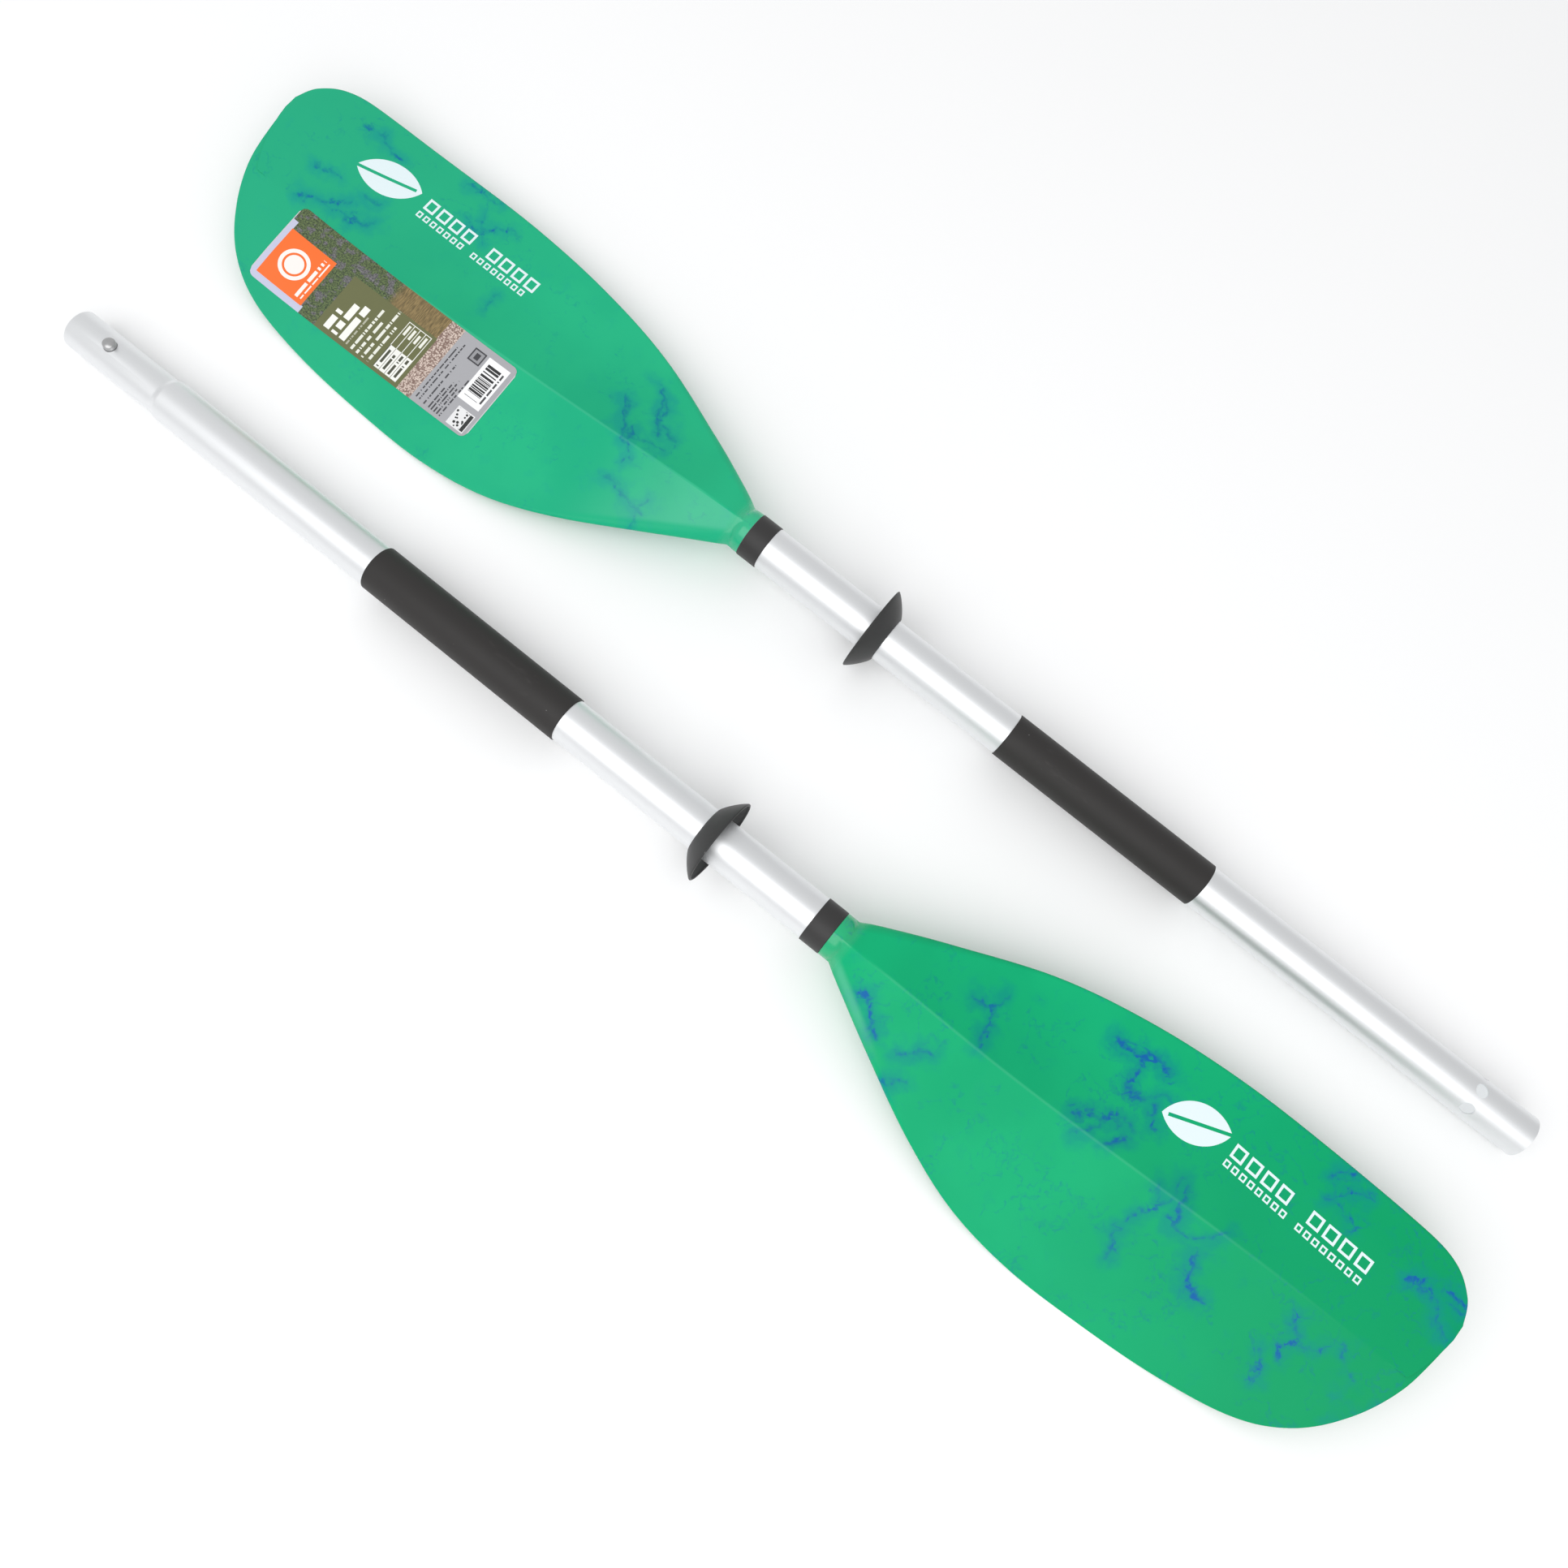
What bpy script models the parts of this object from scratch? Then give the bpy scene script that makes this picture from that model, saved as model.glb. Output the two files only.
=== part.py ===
"""Two-piece kayak paddle with aluminium shafts and moulded blades, laid out in its two halves.

Both halves lie on the floor side by side. Each rests on its free tube end and on the belly of
its blade. The left half is the female one, with the three feather holes; the right half is the
male one, with the swaged neck and the snap button. Metres, +Z up.

Each half is modelled in its own frame: +X runs along the shaft axis from the blade's root to
the blade's tip, +Z leaves the blade's face, and the blade's narrow side is +Y on the right
half and -Y on the left half, so that the two blades mirror each other.
"""

from math import atan2, cos, pi, radians, sin, sqrt

import bmesh
import bpy
from mathutils import Vector

# Shaft
TUBE_RADIUS = 0.0145
TUBE_WALL = 0.0012
TUBE_LENGTH = 0.593          # from the joint band to the free end
TUBE_SIDES = 36
NECK_RADIUS = 0.0131         # swaged end that plugs into the other half
NECK_LENGTH = 0.072
NECK_RAMP = 0.007
CLEARANCE = 0.0003           # between pieces that touch

# Joint band and grip sleeve
BAND_LENGTH = 0.013
BAND_RADIUS = 0.0150
SLEEVE_GAP = 0.00015
GRIP_RADIUS = 0.01515
GRIP_LENGTH = 0.152
BAND_TO_GRIP = 0.190

# Drip ring
RING_RADIUS = 0.02875
RING_DEPTH = 0.0115
RING_WALL = 0.0016
RING_COLLAR_RADIUS = 0.0176
RING_FROM_BAND = {"left": 0.0846, "right": 0.0720}

# Snap button, its leaf spring and the feather holes
BUTTON_RADIUS = 0.0041
BUTTON_HOLE_RADIUS = 0.0044
BUTTON_PROUD = 0.0042
BUTTON_FROM_SHOULDER = 0.041
BUTTON_TURN = radians(13)    # round from the blade's face, towards the narrow side
FEATHER_STEP = radians(60)
FLANGE_RADIUS = 0.0050
FLANGE_TOP = 0.0102
FLANGE_THICKNESS = 0.0010
SPRING_WIDTH = 0.006
SPRING_THICKNESS = 0.0007
SPRING_LENGTH = 0.042

# Blade
BLADE_NECK_RADIUS = 0.0148
BLADE_NECK_LENGTH = 0.009
TANG_LENGTH = 0.058
TANG_RADIUS = TUBE_RADIUS - TUBE_WALL - CLEARANCE
RIDGE_HEIGHT = 0.0125        # half thickness of the ridge where it leaves the neck
RIDGE_REACH = 0.205
PLATE_HALF = 0.0022          # half thickness along the centre line of the flat part
EDGE_HALF = 0.0010
ROOT_EDGE_EXTRA = 0.0025     # the edges are this much thicker, to each face, beside the neck
EDGE_DROP = 0.0065           # how far the face falls from the ridge to either edge
NARROW_EDGE = (              # distance along the blade, distance from the shaft axis
    (0.009, 0.0150), (0.024, 0.0226), (0.061, 0.0394), (0.122, 0.0643), (0.183, 0.0786),
    (0.244, 0.0854), (0.305, 0.0864), (0.366, 0.0840), (0.398, 0.0792), (0.415, 0.0664),
    (0.4215, 0.0520),
)
WIDE_EDGE = (
    (0.009, -0.0150), (0.024, -0.0233), (0.061, -0.0429), (0.107, -0.0652), (0.153, -0.0815),
    (0.200, -0.0880), (0.250, -0.0871), (0.305, -0.0823), (0.351, -0.0728), (0.380, -0.0567),
    (0.401, -0.0318), (0.415, 0.0005), (0.4215, 0.0400),
)
SPOON = (                    # height of the blade's middle surface along its length
    (0.000, 0.0000), (0.030, -0.0020), (0.070, -0.0075), (0.120, -0.0150), (0.190, -0.0232),
    (0.270, -0.0285), (0.340, -0.0300), (0.400, -0.0255), (0.4215, -0.0222),
)
BLADE_ROWS = 30
FACE_STEPS = (0.0, 0.2, 0.45, 0.7, 0.88, 0.965, 1.0)

# Blade pin and float plug
PIN_RADIUS = 0.0020
PIN_HOLE_RADIUS = 0.0022
PLUG_LENGTH = 0.025
PLUG_FROM_END = 0.110

# Product label on the left blade
LABEL_LENGTH = 0.181
LABEL_WIDTH = 0.0575
LABEL_CORNER = 0.005
LABEL_THICKNESS = 0.0003
LABEL_LIFT = 0.0002
LABEL_CENTRE = (0.2780, -0.0316)

# Layout on the floor
LANE_HALF_SPACING = 0.0846
LANE_YAW = radians(0.79)
ROOT_X = {"left": -0.0981, "right": 0.0943}
BLADE_ROLL = {"left": radians(7), "right": radians(11)}
NARROW_SIDE = {"left": -1, "right": 1}


def clear_scene():
    """Remove every object, so that the file holds only the paddle."""
    for thing in list(bpy.data.objects):
        bpy.data.objects.remove(thing, do_unlink=True)


def make_collection(name):
    """A collection linked to the scene."""
    collection = bpy.data.collections.new(name)
    bpy.context.scene.collection.children.link(collection)
    return collection


def make_material(name, colour, roughness, metallic=0.0):
    """A Principled material with one colour."""
    material = bpy.data.materials.new(name)
    material.use_nodes = True
    shader = material.node_tree.nodes["Principled BSDF"]
    shader.inputs["Base Color"].default_value = (*colour, 1.0)
    shader.inputs["Roughness"].default_value = roughness
    shader.inputs["Metallic"].default_value = metallic
    material.diffuse_color = (*colour, 1.0)
    return material


def add_object(name, mesh, parent, material, collection):
    """Put a mesh in the scene as a named piece of one half."""
    thing = bpy.data.objects.new(name, mesh)
    collection.objects.link(thing)
    thing.parent = parent
    thing.data.materials.append(material)
    return thing


def cutter_material():
    """The material shared by the cutters."""
    return bpy.data.materials.get("cutter") or make_material("cutter", (0.5, 0.5, 0.5), 0.5)


def mark_cutter(thing):
    """A cutter is only seen as a wire."""
    thing.hide_render = True
    thing.display_type = "WIRE"


def cut(thing, cutter):
    """Take the cutter's shape out of a piece."""
    modifier = thing.modifiers.new(cutter.name, "BOOLEAN")
    modifier.operation = "DIFFERENCE"
    modifier.object = cutter


def turned(name, profile, parent, material, collection, place=0.0):
    """Turn a closed outline of (distance along the shaft, radius) points about the shaft axis."""
    mesh = bpy.data.meshes.new(name)
    points = [(radius, 0.0, along) for along, radius in profile]
    count = len(points)
    mesh.from_pydata(points, [(i, (i + 1) % count) for i in range(count)], [])
    thing = add_object(name, mesh, parent, material, collection)
    thing.location = (place, 0, 0)
    thing.rotation_euler = (0, pi / 2, 0)
    screw = thing.modifiers.new("Turn", "SCREW")
    screw.axis = "Z"
    screw.steps = TUBE_SIDES
    screw.render_steps = TUBE_SIDES
    screw.use_merge_vertices = True
    screw.merge_threshold = 0.00001
    screw.use_smooth_shade = True
    return thing


def rod(name, radius, length, parent, material, collection, sides=24):
    """A closed round rod along its own Z axis, centred on its origin."""
    mesh = bpy.data.meshes.new(name)
    body = bmesh.new()
    bmesh.ops.create_cone(
        body, cap_ends=True, segments=sides, radius1=radius, radius2=radius, depth=length
    )
    body.to_mesh(mesh)
    body.free()
    mesh.shade_smooth()
    mesh.set_sharp_from_angle(angle=radians(40))
    return add_object(name, mesh, parent, material, collection)


def half_frame(side, collection):
    """The empty that carries one half: its X axis is the shaft axis."""
    frame = bpy.data.objects.new(side + "_half", None)
    collection.objects.link(frame)
    sign = 1 if side == "right" else -1
    heading = -LANE_YAW if side == "right" else pi + LANE_YAW
    frame.location = (ROOT_X[side], -sign * LANE_HALF_SPACING, 0.040)
    frame.rotation_euler = (NARROW_SIDE[side] * BLADE_ROLL[side], 0, heading)
    return frame


# ---------------------------------------------------------------- blade


def spline_point(points, u):
    """A point on a smooth curve through the given points, with u from 0 to 1."""
    last = len(points) - 1
    i = min(int(u * last), last - 1)
    t = u * last - i
    before = points[max(i - 1, 0)]
    after = points[min(i + 2, last)]
    result = []
    for a, b, c, d in zip(before, points[i], points[i + 1], after):
        bend = (2 * a - 5 * b + 4 * c - d) * t * t + (3 * b - a - 3 * c + d) * t**3
        result.append(0.5 * (2 * b + (c - a) * t + bend))
    return result


def by_length(points, count):
    """Points spaced evenly by length along the smooth curve through the given points."""
    fine = [spline_point(points, k / 600) for k in range(601)]
    run = [0.0]
    for a, b in zip(fine, fine[1:]):
        run.append(run[-1] + sqrt((b[0] - a[0]) ** 2 + (b[1] - a[1]) ** 2))
    result = []
    k = 0
    for i in range(count):
        goal = run[-1] * i / (count - 1)
        while k < 599 and run[k + 1] < goal:
            k += 1
        result.append(fine[k + 1] if i else fine[0])
    return result


def smooth_step(low, high, value):
    """0 below low, 1 above high, and a smooth rise between them."""
    t = min(max((value - low) / (high - low), 0.0), 1.0)
    return t * t * (3 - 2 * t)


def spoon_height(along):
    """Height of the blade's middle surface on its centre line."""
    for (a, low), (b, high) in zip(SPOON, SPOON[1:]):
        if along <= b:
            break
    i = SPOON.index((a, low))
    return spline_point(SPOON, (i + (along - a) / (b - a)) / (len(SPOON) - 1))[1]


def ridge_half(along):
    """Half thickness of the blade on its centre line."""
    fade = max(0.0, 1 - along / RIDGE_REACH)
    return PLATE_HALF + (RIDGE_HEIGHT - PLATE_HALF) * fade**1.45


def blade_faces(along, across):
    """Top and bottom heights, where across runs from 0 on the centre line to 1 at the edge."""
    drop = EDGE_DROP * smooth_step(0.01, 0.14, along) * (1 - 0.75 * smooth_step(0.33, 0.4215, along))
    middle = spoon_height(along) - drop * across
    edge = EDGE_HALF + ROOT_EDGE_EXTRA * (1 - smooth_step(0.02, 0.15, along))
    roof = edge + (ridge_half(along) - edge) * (1 - across)
    shoulder = smooth_step(0.012, 0.06, along)
    round_part = edge + (ridge_half(along) - edge) * sqrt(max(0.0, 1 - across**2))
    half = roof * shoulder + round_part * (1 - shoulder)
    half -= 0.4 * edge * smooth_step(0.93, 1.0, across)
    return middle + half, middle - half


def label_height(along, sideways):
    """Height of the blade's face at a distance along it and from the shaft axis, wide side."""
    edge = next(y for x, y in by_length(WIDE_EDGE, 200) if x >= along)
    return blade_faces(along, min(1.0, sideways / edge))[0]


def circle_ring(along, radius, steps):
    """A ring of points round the shaft axis that matches the blade's rows."""
    span = [-s for s in reversed(steps[1:])] + list(steps)
    top = [(along, radius * sin(s * pi / 2), radius * cos(s * pi / 2)) for s in span]
    bottom = [(x, y, -z) for x, y, z in reversed(top[1:-1])]
    return top + bottom


def blade_row(narrow, wide, steps):
    """One closed section of the blade between its two edge points."""
    span = narrow[1] - wide[1]
    centre = min(max(-wide[1] / span, 0.12), 0.88)
    top = []
    bottom = []
    for s in [-s for s in reversed(steps[1:])] + list(steps):
        share = centre + s * (1 - centre) if s >= 0 else centre * (1 + s)
        x = wide[0] + share * (narrow[0] - wide[0])
        y = wide[1] + share * span
        high, low = blade_faces(x, abs(s))
        top.append((x, y, high))
        bottom.append((x, y, low))
    edge_wide = (top[0][0], top[0][1], (top[0][2] + bottom[0][2]) / 2)
    edge_narrow = (top[-1][0], top[-1][1], (top[-1][2] + bottom[-1][2]) / 2)
    return [edge_wide, *top[1:-1], edge_narrow, *reversed(bottom[1:-1])]


def blade_mesh(name, narrow_side):
    """Loft from the round tang, through the neck, to the flat blade."""
    rings = [
        circle_ring(-TANG_LENGTH, TANG_RADIUS - 0.001, FACE_STEPS),
        circle_ring(-TANG_LENGTH + 0.001, TANG_RADIUS, FACE_STEPS),
        circle_ring(0, TANG_RADIUS, FACE_STEPS),
        circle_ring(0, BLADE_NECK_RADIUS, FACE_STEPS),
        circle_ring(BLADE_NECK_LENGTH - 0.002, BLADE_NECK_RADIUS, FACE_STEPS),
    ]
    narrow = by_length(NARROW_EDGE, BLADE_ROWS)
    wide = by_length(WIDE_EDGE, BLADE_ROWS)
    rings += [blade_row(n, w, FACE_STEPS) for n, w in zip(narrow[1:], wide[1:])]
    count = len(rings[0])
    points = [(x, y * narrow_side, z) for ring in rings for x, y, z in ring]
    faces = [
        (r * count + k, r * count + (k + 1) % count,
         (r + 1) * count + (k + 1) % count, (r + 1) * count + k)
        for r in range(len(rings) - 1)
        for k in range(count)
    ]
    faces.append(tuple(reversed(range(count))))
    faces.append(tuple(range((len(rings) - 1) * count, len(rings) * count)))
    mesh = bpy.data.meshes.new(name)
    mesh.from_pydata(points, [], faces)
    body = bmesh.new()
    body.from_mesh(mesh)
    bmesh.ops.recalc_face_normals(body, faces=body.faces)
    body.to_mesh(mesh)
    body.free()
    mesh.shade_smooth()
    mesh.set_sharp_from_angle(angle=radians(35))
    return mesh


# ---------------------------------------------------------------- pieces of a half


def shaft_profile(side):
    """Closed outline of the tube wall, from the blade end to the free end."""
    start = -CLEARANCE
    end = -BAND_LENGTH - TUBE_LENGTH
    if side == "left":
        outer = [(start, TUBE_RADIUS), (end, TUBE_RADIUS)]
    else:
        shoulder = end + NECK_LENGTH
        outer = [
            (start, TUBE_RADIUS),
            (shoulder + NECK_RAMP, TUBE_RADIUS),
            (shoulder + 0.75 * NECK_RAMP, TUBE_RADIUS - 0.0003),
            (shoulder + 0.25 * NECK_RAMP, NECK_RADIUS + 0.0003),
            (shoulder, NECK_RADIUS),
            (end, NECK_RADIUS),
        ]
    return outer + [(along, radius - TUBE_WALL) for along, radius in reversed(outer)]


def collar_profile(start, length, radius):
    """Closed outline of a thin sleeve that is pulled over the tube."""
    inner = TUBE_RADIUS + SLEEVE_GAP
    end = start + length
    return [(end, inner), (end, radius), (start, radius), (start, inner)]


def ring_profile():
    """Closed outline of the drip ring: a dome whose open rim faces the blade, with a collar."""
    bore = TUBE_RADIUS + CLEARANCE
    steps = 5
    rise = RING_RADIUS - bore - 0.0008
    dome = [
        (-RING_DEPTH * sin(k * pi / 2 / steps), bore + 0.0008 + rise * cos(k * pi / 2 / steps))
        for k in range(steps + 1)
    ]
    inside = [
        (-(RING_DEPTH - RING_WALL) * sin(k * pi / 2 / steps) - 0.0004,
         bore + 0.0008 + (rise - RING_WALL) * cos(k * pi / 2 / steps))
        for k in range(steps)
        if bore + (rise - RING_WALL) * cos(k * pi / 2 / steps) > RING_COLLAR_RADIUS
    ]
    collar_end = -RING_DEPTH + 0.0070
    collar = [
        (-RING_DEPTH, bore),
        (collar_end, bore),
        (collar_end, RING_COLLAR_RADIUS),
        (inside[-1][0], RING_COLLAR_RADIUS),
    ]
    lip = [(0.0006, RING_RADIUS - RING_WALL + 0.0004), (0.0006, RING_RADIUS - 0.0004)]
    return dome + collar + list(reversed(inside)) + lip


def strip_outline(route, thickness):
    """Closed outline of a bent strip whose middle follows the route."""
    left = []
    right = []
    for i, point in enumerate(route):
        before = route[max(i - 1, 0)]
        after = route[min(i + 1, len(route) - 1)]
        direction = (Vector(after) - Vector(before)).normalized()
        offset = Vector((-direction.y, direction.x)) * thickness / 2
        left.append(Vector(point) + offset)
        right.append(Vector(point) - offset)
    return left + list(reversed(right))


def spring_route():
    """Middle line of the V spring: from under the button, round the bend, to the far wall."""
    top = FLANGE_TOP - FLANGE_THICKNESS - CLEARANCE - SPRING_THICKNESS / 2
    low = -(NECK_RADIUS - TUBE_WALL) + 0.0009
    bend_radius = 0.0032
    bend_x = SPRING_LENGTH - bend_radius
    middle = (top + low) / 2
    bend = [
        (bend_x + bend_radius * sin(a * pi / 6), middle + bend_radius * cos(a * pi / 6))
        for a in range(7)
    ]
    return [(-0.004, top), (0.004, top), *bend, (0.010, low), (-0.006, low)]


def make_spring(parent, material, collection):
    """The V leaf spring that holds the button out."""
    curve = bpy.data.curves.new("button_spring", "CURVE")
    curve.dimensions = "2D"
    curve.fill_mode = "BOTH"
    curve.extrude = SPRING_WIDTH / 2
    outline = strip_outline(spring_route(), SPRING_THICKNESS)
    spline = curve.splines.new("POLY")
    spline.points.add(len(outline) - 1)
    for point, place in zip(spline.points, outline):
        point.co = (place.x, place.y, 0, 1)
    spline.use_cyclic_u = True
    flat = bpy.data.objects.new("spring_outline", curve)
    collection.objects.link(flat)
    bpy.context.view_layer.update()
    solid = flat.evaluated_get(bpy.context.evaluated_depsgraph_get())
    mesh = bpy.data.meshes.new_from_object(solid)
    mesh.name = "button_spring"
    bpy.data.objects.remove(flat, do_unlink=True)
    body = bmesh.new()
    body.from_mesh(mesh)
    bmesh.ops.remove_doubles(body, verts=body.verts, dist=0.00001)
    bmesh.ops.recalc_face_normals(body, faces=body.faces)
    body.to_mesh(mesh)
    body.free()
    mesh.materials.clear()
    spring = add_object("button_spring", mesh, parent, material, collection)
    spring.rotation_euler = (pi / 2, 0, 0)
    return spring


def button_profile():
    """Outline from the axis out and back: domed top, shank, and the flange inside the tube."""
    top = NECK_RADIUS + BUTTON_PROUD
    crown = 0.0016
    dome = [
        (top - crown * (1 - cos(k * pi / 8)), BUTTON_RADIUS * sin(k * pi / 8)) for k in range(5)
    ]
    under = FLANGE_TOP - FLANGE_THICKNESS
    return dome + [
        (FLANGE_TOP, BUTTON_RADIUS), (FLANGE_TOP, FLANGE_RADIUS), (under, FLANGE_RADIUS), (under, 0.0)
    ]


def make_button(parent, material, collection):
    """The snap button, turned about its own axis; local +Z leaves the shaft."""
    profile = button_profile()
    mesh = bpy.data.meshes.new("snap_button")
    points = [(radius, 0.0, along) for along, radius in profile]
    mesh.from_pydata(points, [(i, i + 1) for i in range(len(points) - 1)], [])
    thing = add_object("snap_button", mesh, parent, material, collection)
    screw = thing.modifiers.new("Turn", "SCREW")
    screw.axis = "Z"
    screw.steps = 24
    screw.render_steps = 24
    screw.use_merge_vertices = True
    screw.merge_threshold = 0.00001
    screw.use_smooth_shade = True
    return thing


def turned_empty(name, parent, along, turn, collection):
    """An empty on the shaft axis whose Z axis points out of the tube at the given turn."""
    empty = bpy.data.objects.new(name, None)
    collection.objects.link(empty)
    empty.parent = parent
    empty.location = (along, 0, 0)
    empty.rotation_euler = (turn, 0, 0)
    return empty


def radial_cutter(name, radius, reach, parent, collection):
    """A round cutter that leaves the shaft axis and passes the wall on one side only."""
    cutter = rod(name, radius, reach, parent, cutter_material(), collection, sides=20)
    cutter.location = (0, 0, reach / 2 + 0.002)
    mark_cutter(cutter)
    return cutter


def add_blade_pin(side, frame, blade, shaft, materials, parts, cutters):
    """The cross pin under the joint band, through tube and tang."""
    place = (-BAND_LENGTH / 2, 0, 0)
    hole = rod(side + "_pin_hole", PIN_HOLE_RADIUS, 0.040, frame, cutter_material(), cutters, sides=16)
    hole.location = place
    hole.rotation_euler = (pi / 2, 0, 0)
    mark_cutter(hole)
    cut(blade, hole)
    cut(shaft, hole)
    length = 2 * TUBE_RADIUS - 0.0004
    pin = rod(side + "_blade_pin", PIN_RADIUS, length, frame, materials["steel"], parts, sides=16)
    pin.location = place
    pin.rotation_euler = (pi / 2, 0, 0)


def add_plug(side, frame, materials, parts):
    """The foam plug that keeps water out of the tube."""
    radius = TUBE_RADIUS - TUBE_WALL - CLEARANCE
    plug = rod(side + "_tube_plug", radius, PLUG_LENGTH, frame, materials["foam"], parts, sides=32)
    plug.location = (-BAND_LENGTH - TUBE_LENGTH + PLUG_FROM_END, 0, 0)
    plug.rotation_euler = (0, pi / 2, 0)
    bevel = plug.modifiers.new("Soft edge", "BEVEL")
    bevel.width = 0.0015
    bevel.segments = 1
    bevel.limit_method = "ANGLE"


def add_snap_lock(frame, shaft, materials, parts, cutters):
    """Button, spring and the hole in the neck."""
    along = -BAND_LENGTH - TUBE_LENGTH + NECK_LENGTH - BUTTON_FROM_SHOULDER
    turn = -NARROW_SIDE["right"] * BUTTON_TURN
    seat = turned_empty("button_seat", frame, along, turn, parts)
    make_button(seat, materials["steel"], parts)
    make_spring(seat, materials["spring"], parts)
    cut(shaft, radial_cutter("button_hole", BUTTON_HOLE_RADIUS, 0.016, seat, cutters))


def add_feather_holes(frame, shaft, parts, cutters):
    """Three holes round the female end, one for each feather angle."""
    along = -BAND_LENGTH - TUBE_LENGTH + BUTTON_FROM_SHOULDER + 0.001
    for step in (-1, 0, 1):
        turn = -NARROW_SIDE["left"] * (BUTTON_TURN + step * FEATHER_STEP)
        name = "feather_" + ("down", "level", "up")[step + 1]
        seat = turned_empty(name + "_seat", frame, along, turn, parts)
        cut(shaft, radial_cutter(name, BUTTON_HOLE_RADIUS, 0.017, seat, cutters))


def add_label(frame, material, parts):
    """The thin product label, which follows the face of the left blade."""
    rows = 17
    columns = 7
    top = []
    for i in range(rows):
        u = (i / (rows - 1) - 0.5) * LABEL_LENGTH
        past = max(0.0, abs(u) - LABEL_LENGTH / 2 + LABEL_CORNER) / LABEL_CORNER
        inset = LABEL_CORNER * (1 - sqrt(max(0.0, 1 - past**2)))
        for j in range(columns):
            along = LABEL_CENTRE[0] + u
            side = LABEL_CENTRE[1] + (j / (columns - 1) - 0.5) * (LABEL_WIDTH - 2 * inset)
            top.append((along, side, label_height(along, side) + LABEL_LIFT))
    mesh = bpy.data.meshes.new("product_label")
    points = [(x, NARROW_SIDE["left"] * y, z) for x, y, z in top]
    faces = [
        (i * columns + j, i * columns + j + 1, (i + 1) * columns + j + 1, (i + 1) * columns + j)
        for i in range(rows - 1)
        for j in range(columns - 1)
    ]
    mesh.from_pydata(points, [], faces)
    label = add_object("product_label", mesh, frame, material, parts)
    solid = label.modifiers.new("Film", "SOLIDIFY")
    solid.thickness = LABEL_THICKNESS
    solid.offset = -1 if mesh.polygons[0].normal.z < 0 else 1
    return label


def make_half(side, materials, parts, cutters):
    """All the pieces of one half, on the empty that carries it."""
    frame = half_frame(side, parts)
    mesh = blade_mesh(side + "_blade", NARROW_SIDE[side])
    blade = add_object(side + "_blade", mesh, frame, materials["blade"], parts)
    shaft = turned(
        side + "_shaft_tube", shaft_profile(side), frame, materials["aluminium"], parts
    )
    band = collar_profile(-BAND_LENGTH, BAND_LENGTH - 2 * CLEARANCE, BAND_RADIUS)
    turned(side + "_joint_band", band, frame, materials["band"], parts)
    grip_start = -BAND_LENGTH - BAND_TO_GRIP - GRIP_LENGTH
    grip = collar_profile(grip_start, GRIP_LENGTH, GRIP_RADIUS)
    turned(side + "_grip_sleeve", grip, frame, materials["grip"], parts)
    rim = -BAND_LENGTH - RING_FROM_BAND[side]
    turned(side + "_drip_ring", ring_profile(), frame, materials["rubber"], parts, rim)
    add_blade_pin(side, frame, blade, shaft, materials, parts, cutters)
    add_plug(side, frame, materials, parts)
    if side == "left":
        add_feather_holes(frame, shaft, parts, cutters)
        add_label(frame, materials["label"], parts)
    else:
        add_snap_lock(frame, shaft, materials, parts, cutters)
    return frame, blade, shaft


def world_points(thing):
    """Every point of a piece as built, in world coordinates."""
    solid = thing.evaluated_get(bpy.context.evaluated_depsgraph_get())
    mesh = solid.to_mesh()
    points = [thing.matrix_world @ vertex.co for vertex in mesh.vertices]
    solid.to_mesh_clear()
    return points


def settle(frame, blade, shaft):
    """Pitch and lower one half until its blade and its free tube end both touch the floor."""
    for _ in range(8):
        bpy.context.view_layer.update()
        low_blade = min(world_points(blade), key=lambda point: point.z)
        low_tube = min(world_points(shaft), key=lambda point: point.z)
        frame.rotation_euler.y += atan2(low_blade.z - low_tube.z, abs(low_blade.x - low_tube.x))
        frame.location.z -= min(low_blade.z, low_tube.z)


def centre_on_origin(frames, pieces):
    """Move the whole layout so that its box is centred over the origin and stands on the floor."""
    bpy.context.view_layer.update()
    points = [point for piece in pieces for point in world_points(piece)]
    low = Vector([min(point[k] for point in points) for k in range(3)])
    high = Vector([max(point[k] for point in points) for k in range(3)])
    shift = Vector((-(low.x + high.x) / 2, -(low.y + high.y) / 2, -low.z))
    for frame in frames:
        frame.location += shift
    bpy.context.view_layer.update()


def main():
    """Build the paddle and lay it out."""
    clear_scene()
    parts = make_collection("kayak_paddle")
    cutters = make_collection("cutters")
    materials = {
        "blade": make_material("blade_green", (0.03, 0.45, 0.18), 0.35),
        "aluminium": make_material("satin_aluminium", (0.80, 0.81, 0.82), 0.35, 1.0),
        "band": make_material("band_black", (0.035, 0.035, 0.035), 0.45),
        "grip": make_material("grip_black", (0.035, 0.034, 0.034), 0.6),
        "rubber": make_material("ring_rubber", (0.03, 0.03, 0.03), 0.5),
        "steel": make_material("button_steel", (0.65, 0.65, 0.66), 0.25, 1.0),
        "spring": make_material("spring_steel", (0.45, 0.45, 0.47), 0.35, 1.0),
        "foam": make_material("plug_foam", (0.75, 0.75, 0.72), 0.9),
        "label": make_material("label_film", (0.30, 0.31, 0.24), 0.4),
    }
    frames = []
    for side in ("left", "right"):
        frame, blade, shaft = make_half(side, materials, parts, cutters)
        settle(frame, blade, shaft)
        frames.append(frame)
    centre_on_origin(frames, [thing for thing in parts.objects if thing.type == "MESH"])


main()
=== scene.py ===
"""The looks of the kayak paddle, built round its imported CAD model. Metres, +Z up.

Each half has its own frame, as in the CAD: X runs along the shaft axis from the blade's root to
its tip, and Z leaves the blade's face. Every piece is modelled in the frame of its half and moved
to the row frame, with its first coordinates kept as the attribute half_place. Its materials read
them as distances along, across and above that shaft axis.
"""

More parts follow.
